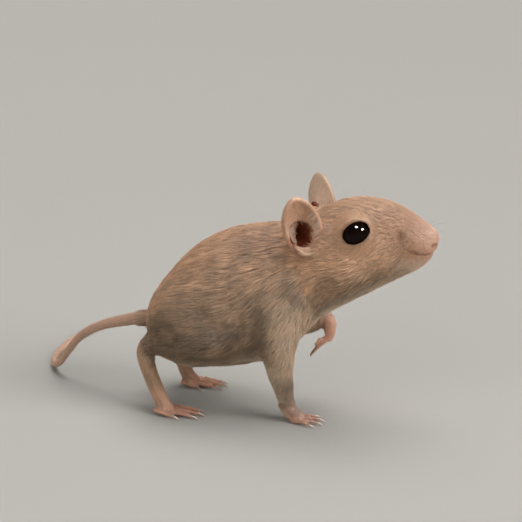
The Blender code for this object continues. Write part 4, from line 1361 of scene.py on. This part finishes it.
def lay_steps(start, length, depth, turn, lift):
    """Walks each tuft over the skin. Returns its points from root to tip, and the skin's facing there."""
    at = nearest_of(skin_tree, start)
    ground = start.copy()
    rows, facings = [start - skin_facing[at] * (ROOT_DEPTH * MM)], [skin_facing[at]]
    for step in range(1, STEPS + 1):
        way, up = skin_lie[at], skin_facing[at]
        way = way * np.cos(turn)[:, None] + np.cross(up, way) * np.sin(turn)[:, None]
        ground = ground + way * (length * MM / STEPS)[:, None]
        at = nearest_of(skin_tree, ground)
        up = skin_facing[at]
        ground = ground - up * ((ground - skin_spots[at]) * up).sum(1)[:, None]
        rise = 1 - (1 - step / STEPS) ** 1.6
        height = (0.5 * depth + 0.5 * skin_depth[at]) * rise * lift
        rows.append(ground + up * (height * MM)[:, None])
        facings.append(up)
    return np.stack(rows), np.stack(facings)


root_spots, root_facing, root_markings = root_spots[keep], root_facing[keep], root_markings[keep]
root_depth, root_length, root_width = root_depth[keep], root_length[keep], root_width[keep]
root_map, root_density = root_map[keep], at_roots(density)[keep]
root_parts = {part: values[keep] for part, values in root_parts.items()}
count = len(root_spots)
length = root_length * rng.uniform(0.72, 1.15, count)
width = root_width * rng.uniform(0.75, 1.2, count)
full = np.clip(root_length / FULL_LENGTH, 0.5, 1)
turn = rng.normal(0.0, TURN_SPREAD, count) + SWIRL * full * swirl_at(root_spots)
lift = rng.uniform(0.62, 1.06, count)
rows, facings = lay_steps(root_spots, length, root_depth, turn, lift)

lead_chance = 1 / ((LEADER_SPACING * root_length) ** 2 * root_density)
leaders = np.flatnonzero(rng.random(count) < lead_chance)
leader = leaders[nearest_of(tree_of(root_spots[leaders]), root_spots)]
for step in range(1, STEPS + 1):
    lean = LEADER_PULL * (step / STEPS) ** 1.5
    wanted = rows[step][leader] + KEPT_APART * (root_spots - root_spots[leader])
    rows[step] += lean * (wanted - rows[step])
strength = full * blend_of(CONTRAST, root_parts)
own_light = 0.5 + (rng.random(count) - 0.5) * strength
led_light = 0.5 + (rng.random(count)[leader] - 0.5) * strength
print("tufts:", count, "leaders:", len(leaders))

# %% [markdown]
# Each tuft is a blade with a ridge: left edge, ridge and right edge at each step, and a tip.
# Long tufts keep all their steps. On face, feet and ears a short one needs only its middle.

# %% Make the blades
PATCH = 0.003
SHORT_TUFT = 1.7
ROLL = 0.5
# How wide a blade is along its length, as a share of its full width.
TAPER_PLACES = (0.0, 0.35, 0.7, 1.0)
TAPER_WIDTHS = (0.75, 1.0, 0.72, 0.0)


def blade_arrays(tufts, chosen, used):
    """Corners, faces and places along of the chosen tufts, through the used steps of their walk."""
    spine, up = tufts["rows"][used][:, chosen], tufts["facings"][used][:, chosen]
    run = unit(np.gradient(spine, axis=0))
    side = unit(np.cross(run, up))
    roll = rng.uniform(-ROLL, ROLL, len(chosen))[None, :, None]
    side = unit(side * np.cos(roll) + up * np.sin(roll))
    crest = np.cross(side, run)
    taper = np.interp(np.array(used) / STEPS, TAPER_PLACES, TAPER_WIDTHS)
    half = taper[:, None, None] * (tufts["width"][chosen] * MM / 2)[None, :, None]
    body_rows = len(used) - 1
    layers_of = []
    for row in range(body_rows):
        layers_of += [spine[row] - side[row] * half[row], spine[row] + crest[row] * half[row] * RIDGE * 2,
                      spine[row] + side[row] * half[row]]
    layers_of.append(spine[-1])
    along = np.concatenate([np.repeat(np.array(used[:-1]) / STEPS, 3), [1.0]])
    across = np.concatenate([np.tile((-1.0, 0.0, 1.0), body_rows), [0.0]])
    faces = []
    for row in range(body_rows - 1):
        left, ridge, right = 3 * row, 3 * row + 1, 3 * row + 2
        faces += [(ridge, ridge + 3, left + 3, left), (ridge, right, right + 3, ridge + 3)]
    left, ridge, right, tip = 3 * body_rows - 3, 3 * body_rows - 2, 3 * body_rows - 1, 3 * body_rows
    faces += [(ridge, tip, left), (ridge, right, tip)]
    return np.stack(layers_of, 1), faces, along, across


def mesh_of(name, spots, loops, sizes):
    """A smooth mesh from its corners, the corners of all faces in a row, and each face's count of them."""
    mesh = bpy.data.meshes.new(name)
    mesh.vertices.add(len(spots))
    mesh.vertices.foreach_set("co", spots.astype(np.float32).ravel())
    mesh.loops.add(len(loops))
    mesh.loops.foreach_set("vertex_index", loops.astype(np.int32))
    mesh.polygons.add(len(sizes))
    mesh.polygons.foreach_set("loop_start", np.concatenate([[0], np.cumsum(sizes)[:-1]]).astype(np.int32))
    mesh.polygons.foreach_set("use_smooth", np.ones(len(sizes), bool))
    mesh.update(calc_edges=True)
    return mesh


def make_coat_piece(name, tufts, chosen):
    """One mesh of tufts with their markings, strand values and bake map."""
    is_long = tufts["length"][chosen] > SHORT_TUFT
    sets = [(chosen[is_long], [0, 1, 2, 3]), (chosen[~is_long], [0, 2, 3])]
    spots, loops, sizes, maps, marks, strands, first = [], [], [], [], [], [], 0
    for part, used in sets:
        if not len(part):
            continue
        corners, faces, along, across = blade_arrays(tufts, part, used)
        each = corners.shape[1]
        base = first + np.arange(len(part))[:, None] * each
        loops.append((base + np.concatenate([np.array(face) for face in faces])[None]).ravel())
        sizes.append(np.tile([len(face) for face in faces], len(part)))
        spots.append(corners.reshape(-1, 3))
        patch = np.stack([across * PATCH / 2, along * PATCH], 1)
        maps.append((tufts["map"][part][:, None] + patch[None]).reshape(-1, 2))
        marks.append(np.repeat(tufts["markings"][part], each, axis=0))
        strands.append(np.stack([np.tile(along, len(part)), np.repeat(tufts["own"][part], each),
                                 np.repeat(tufts["led"][part], each)], 1))
        first += len(part) * each
    spots, loops, sizes = keep_off_floor(np.concatenate(spots)), np.concatenate(loops), np.concatenate(sizes)
    mesh = mesh_of(name, spots, loops, sizes)
    flat_map = mesh.uv_layers.new(name="OFBake")
    flat_map.data.foreach_set("uv", np.concatenate(maps)[loops].astype(np.float32).ravel())
    keep_markings(mesh, np.concatenate(marks))
    strand = mesh.attributes.new("strand", "FLOAT_VECTOR", "POINT")
    strand.data.foreach_set("vector", np.concatenate(strands).astype(np.float32).ravel())
    mesh.materials.append(coat_finish)
    piece = bpy.data.objects.new(name, mesh)
    bpy.context.scene.collection.objects.link(piece)
    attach(piece, "root")
    triangles = int((sizes - 2).sum())
    print(name, len(chosen), "tufts,", triangles, "triangles")
    return triangles


# %% [markdown]
# The coat is made in fourteen pieces, by the part of the body that a tuft grows on and by
# its side, so that each stays small and can be looked at alone.

# %% Make the coat, piece by piece
# The trunk's middle line, how far above it the back starts, and where the face starts.
MIDDLE_X = (-16, -5, 8, 20)
MIDDLE_Z = (24, 26, 27, 30)
BACK_ABOVE = 8
BELLY_BELOW = -0.35
FACE_AHEAD = 36.0

share_table = np.stack([root_parts[part] for part in part_names])
main_part = np.array(part_names)[share_table.argmax(0)]
root_mm = in_mm(root_spots)
on_left = root_mm[:, 1] > 0
on_back = root_mm[:, 2] > np.interp(root_mm[:, 0], MIDDLE_X, MIDDLE_Z) + BACK_ABOVE
on_belly = (root_facing[:, 2] < BELLY_BELOW) & (main_part == "body")
on_face = root_mm[:, 0] > FACE_AHEAD
is_head, is_trunk = main_part == "head", (main_part == "body") & ~on_belly
is_leg = (main_part == "foreleg") | (main_part == "hindleg")
is_paw = (main_part == "forepaw") | (main_part == "hindfoot")
groups = {
    "coat_head_right": is_head & ~on_face & ~on_left, "coat_head_left": is_head & ~on_face & on_left,
    "coat_face_right": is_head & on_face & ~on_left, "coat_face_left": is_head & on_face & on_left,
    "coat_ears": main_part == "ear", "coat_neck": main_part == "neck",
    "coat_back": is_trunk & on_back, "coat_belly": on_belly,
    "coat_flank_right": is_trunk & ~on_back & ~on_left, "coat_flank_left": is_trunk & ~on_back & on_left,
    "coat_legs_right": is_leg & ~on_left, "coat_legs_left": is_leg & on_left,
    "coat_paws": is_paw, "coat_tail": main_part == "tail",
}
tufts = {"rows": rows, "facings": facings, "length": root_length, "width": width, "map": root_map,
         "markings": root_markings, "own": own_light, "led": led_light}
coat_triangles = sum(make_coat_piece(name, tufts, np.flatnonzero(chosen)) for name, chosen in groups.items())
print("coat:", coat_triangles, "triangles")
# %% [markdown]
# From the front rim of each ear a fringe of longer hairs reaches back over the opening, gathered
# into nine small locks. They stand free, so they are given a bend of their own rather than laid on the skin.

# %% Fringe of the ears
LOCKS = 9
LOCK_HAIRS = 9
LOCK_HEIGHTS = (-3.6, 1.6)
LOCK_ROOT = 0.7
# The front rim of an ear, in its own frame: across, up, out, and facing out.
RIM_ACROSS = 2.0
RIM_UP = (-4.0, 3.2)
RIM_OUT = -0.9
RIM_FACING = 0.25
LOCK_GATHER = 0.45
FRINGE_LENGTH = (1.8, 3.6)
FRINGE_WIDTH = 0.065
FRINGE_BOW = 0.34
FRINGE_MARKS = (0.55, 0.0, 0.0, 0.0)


def fringe_tufts(side):
    """Hairs rooted along the front rim of one ear, as the same arrays that the coat has."""
    middle, across, up, out = ear_frame(side)
    spots = in_ear(skin_spots, skin_facing)
    on_rim = (skin_parts["ear"] > 0.8) & (in_mm(skin_spots)[:, 1] * side > 0)
    on_rim &= (spots[:, 0] > RIM_ACROSS) & (spots[:, 3] > RIM_FACING) & (spots[:, 2] > RIM_OUT)
    on_rim &= (spots[:, 1] > RIM_UP[0]) & (spots[:, 1] < RIM_UP[1])
    rim = np.flatnonzero(on_rim)
    heights = np.linspace(*LOCK_HEIGHTS, LOCKS) + rng.normal(0.0, 0.12, LOCKS)
    picked, lock = [], []
    for number, height in enumerate(heights):
        near = rim[np.abs(spots[rim, 1] - height) < LOCK_ROOT]
        if len(near):
            picked.append(rng.choice(near, LOCK_HAIRS))
            lock += [number] * LOCK_HAIRS
    at, lock = np.concatenate(picked), np.array(lock)
    count = len(at)
    length = rng.uniform(*FRINGE_LENGTH, count)[:, None] * MM
    rise = rng.normal(0.0, 0.12, (LOCKS, 1))[lock] + rng.normal(0.0, 0.10, (count, 1)) - 0.12
    steps = []
    for step in range(STEPS + 1):
        share = step / STEPS
        bow = FRINGE_BOW * math.sin(math.pi * 0.75 * share) - 0.10 * share
        steps.append(skin_spots[at] + length * share * (up * rise - across * 0.95) + length * bow * out)
    lines = np.stack(steps)
    for number in np.unique(lock):
        mine = lock == number
        for step in range(1, STEPS + 1):
            heart = lines[step][mine].mean(0)
            lines[step][mine] += LOCK_GATHER * (step / STEPS) * (heart - lines[step][mine])
    return {"rows": lines, "facings": np.broadcast_to(out, lines.shape).copy(),
            "length": np.full(count, np.mean(FRINGE_LENGTH)), "width": np.full(count, FRINGE_WIDTH),
            "markings": np.tile(FRINGE_MARKS, (count, 1)), "own": rng.uniform(0.2, 1.0, count),
            "led": rng.uniform(0.2, 1.0, LOCKS)[lock], "map": map_at_corner[at]}


map_at_corner = np.zeros((len(skin_spots), 2))
map_at_corner[corner_index.ravel()] = skin_map[loop_index.ravel()]
both = [fringe_tufts(side) for side in (RIGHT, LEFT)]
fringe = {key: np.concatenate([one[key] for one in both], int(key in ("rows", "facings")))
          for key in both[0]}
make_coat_piece("coat_ear_fringe", fringe, np.arange(len(fringe["length"])))

# %% [markdown]
# Claws are horn: short curved cones that grow out of the tip of each finger and toe and touch the
# floor. The skin's remesh is too coarse for them, so they are made again at the same places.

# %% Claws
# Where the middle of a row of fingers starts, their reach, distance apart and fan.
FINGERS_RIGHT = ((21.2, 6.8, 0.44), 4.6, 1.02, 0.24)
FINGERS_LEFT = ((24.2, 6.5, 15.0), 3.3, 1.02, 0.16)
LIFTED_WAY = (-0.77, -0.64)
FINGER_CLAW = 0.9
TOES = ((-9.0, 9.5, 0.53), (4.2, 6.9, 7.4, 7.0, 4.6), 0.98, 0.17)
OUTER_TOE_Z = 0.62
OUTER_TOE_BACK = 1.8
HORN_BROWN = "8d6f5f"
HORN_PALE = "c4a996"
CLAW_LENGTH = 1.75
CLAW_DROOP = 0.42
CLAW_SIDES = 8
# Each ring of a claw: how far along it stands, how far it is bowed up, and its radius.
CLAW_RINGS = ((-0.35, 0.0, 0.30), (0.10, 0.05, 0.29), (0.45, 0.10, 0.22), (0.80, 0.06, 0.12),
              (1.0, -0.02, 0.02))


def claw(tip, way, size):
    """Points and faces of one claw from the tip of its finger. The way is the finger's own."""
    way = unit(np.array(way, float))
    up = np.array((0.0, 0.0, 1.0)) if abs(way[2]) < 0.7 else np.array((1.0, 0.0, 0.0))
    run = unit(way - up * CLAW_DROOP)
    side = unit(np.cross(run, up))
    high = np.cross(side, run)
    turn = np.linspace(0, math.tau, CLAW_SIDES, endpoint=False)
    ring = np.cos(turn)[:, None] * side * 0.8 + np.sin(turn)[:, None] * high
    rings = []
    for share, bow, radius in CLAW_RINGS:
        heart = np.array(tip) + run * CLAW_LENGTH * size * share + high * bow * CLAW_LENGTH * size
        rings.append(heart + ring * radius * size)
    return np.concatenate(rings), tube_faces(len(rings), CLAW_SIDES)


def claw_tips():
    """The tip and way of every finger and toe, in the animal's millimetres."""
    tips = []
    for spread in (-1.5, -0.5, 0.5, 1.5):
        shorter = 1 - 0.07 * spread ** 2
        (x, y, z), reach, apart, fan = FINGERS_RIGHT
        way = unit(np.array((1.0, -fan * spread, 0.0)))
        root = np.array((x - 0.25 * spread ** 2, -(y + spread * apart), z))
        tips.append((root + way * reach * shorter, way, FINGER_CLAW))
        (x, y, z), reach, apart, fan = FINGERS_LEFT
        way = unit(np.array((LIFTED_WAY[0], fan * spread, LIFTED_WAY[1])))
        root = np.array((x, y + spread * apart, z - 0.4))
        tips.append((root + way * reach * shorter, way, FINGER_CLAW))
    (x, y, z), reaches, apart, fan = TOES
    for side in (RIGHT, LEFT):
        for number, reach in enumerate(reaches):
            spread = number - 2
            outer = abs(spread) == 2
            way = unit(np.array((1.0, fan * spread * side, 0.0)))
            behind = OUTER_TOE_BACK if outer else 0.3 * abs(spread)
            root = np.array((x - behind, (y + spread * apart) * side, OUTER_TOE_Z if outer else z))
            tips.append((root + way * reach, way, 1.0))
    return tips


claws = joined_piece("claws", [claw(*tip) for tip in claw_tips()])
claws.data.materials.append(mottled("horn", HORN_BROWN, HORN_PALE, 2600.0, 3.0, 0.3, 0.45, 0.5))
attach(claws, "root")
print("claws:", len(claws.data.polygons), "faces")

# %% [markdown]
# Whiskers stand in rows on the pads beside the nose. The front ones are short and lean ahead,
# the back ones are long and stand out to the side, and all bend back and a little down. Two
# stand over each eye. They are stiff tapered hairs, round all the way, thin as thread at the
# root and finer still at the tip.

# %% Whiskers
# Each row: where its front whisker stands, how far the row tilts up, and the lengths.
WHISKER_ROWS = ((46.6, 43.9, 0.22, (10.0, 13.0, 16.0)), (47.0, 42.9, 0.06, (8.0, 11.0, 14.0, 17.0)),
                (46.7, 41.9, -0.12, (7.0, 10.0, 13.0)), (46.2, 41.0, -0.30, (5.5, 8.0)))
WHISKER_STEP = 1.15
WHISKER_LEAN = (0.95, -0.45)
WHISKER_DROOP = -0.12
WHISKER_BEND = (-0.16, 0.0, -0.10)
WHISKER_IN_SKIN = 0.4
BROW_HAIRS = ((34.0, 48.4, (-0.35, 0.75, 0.55), 6.5), (35.2, 48.1, (-0.15, 0.72, 0.65), 5.0))
WHISKER_SIDES = 6
WHISKER_RINGS = 9
WHISKER_ROOT = 0.024
WHISKER_TIP = 0.007
WHISKER_PALE = "b09a84"
WHISKER_BROWN = "6e5c4e"


def whisker(root, way, length, sag):
    """Points and faces of one tapered hair that starts a little inside the skin."""
    way = unit(np.array(way, float))
    side = unit(np.cross(way, (0.0, 0.0, 1.0)))
    high = np.cross(side, way)
    turn = np.linspace(0, math.tau, WHISKER_SIDES, endpoint=False)
    ring = np.cos(turn)[:, None] * side + np.sin(turn)[:, None] * high
    rings = []
    for share in np.linspace(0.0, 1.0, WHISKER_RINGS):
        bend = np.array(WHISKER_BEND) * sag * length * share ** 2
        heart = root + way * (length * share - WHISKER_IN_SKIN) + bend
        rings.append(heart + ring * (WHISKER_ROOT + (WHISKER_TIP - WHISKER_ROOT) * share))
    return np.concatenate(rings), tube_faces(WHISKER_RINGS, WHISKER_SIDES)


def beside(x, z, side):
    """The point of the skin on one side of the head at this place ahead and this height."""
    spots = in_mm(skin_spots)
    outer = (spots[:, 1] * side > 1.0) & (skin_parts["head"] > 0.5) & (skin_facing[:, 1] * side > 0.1)
    outer = np.flatnonzero(outer)
    return spots[outer[np.hypot(spots[outer, 0] - x, spots[outer, 2] - z).argmin()]]


hairs = []
for side in (RIGHT, LEFT):
    for x, z, tilt, lengths in WHISKER_ROWS:
        for place_in_row, length in enumerate(lengths):
            spot = beside(x - WHISKER_STEP * place_in_row, z - 0.05 * place_in_row, side)
            ahead = WHISKER_LEAN[0] + WHISKER_LEAN[1] * place_in_row + rng.normal(0, 0.05)
            way = (ahead, side, tilt + WHISKER_DROOP + rng.normal(0, 0.05))
            hairs.append((spot, way, length * rng.uniform(0.92, 1.06), 1.3))
    for x, z, way, length in BROW_HAIRS:
        hairs.append((beside(x, z, side), (way[0], way[1] * side, way[2]), length, 0.8))
whiskers = joined_piece("whiskers", [whisker(*hair) for hair in hairs])
whiskers.data.materials.append(mottled("whisker", WHISKER_PALE, WHISKER_BROWN, 90.0, 1.0, 0.35, 0.55, 0.2))
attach(whiskers, "root")
print("whiskers:", len(hairs), "hairs,", len(whiskers.data.polygons), "faces")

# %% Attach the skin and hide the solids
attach(skin, "root")
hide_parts(*flesh_nodes)
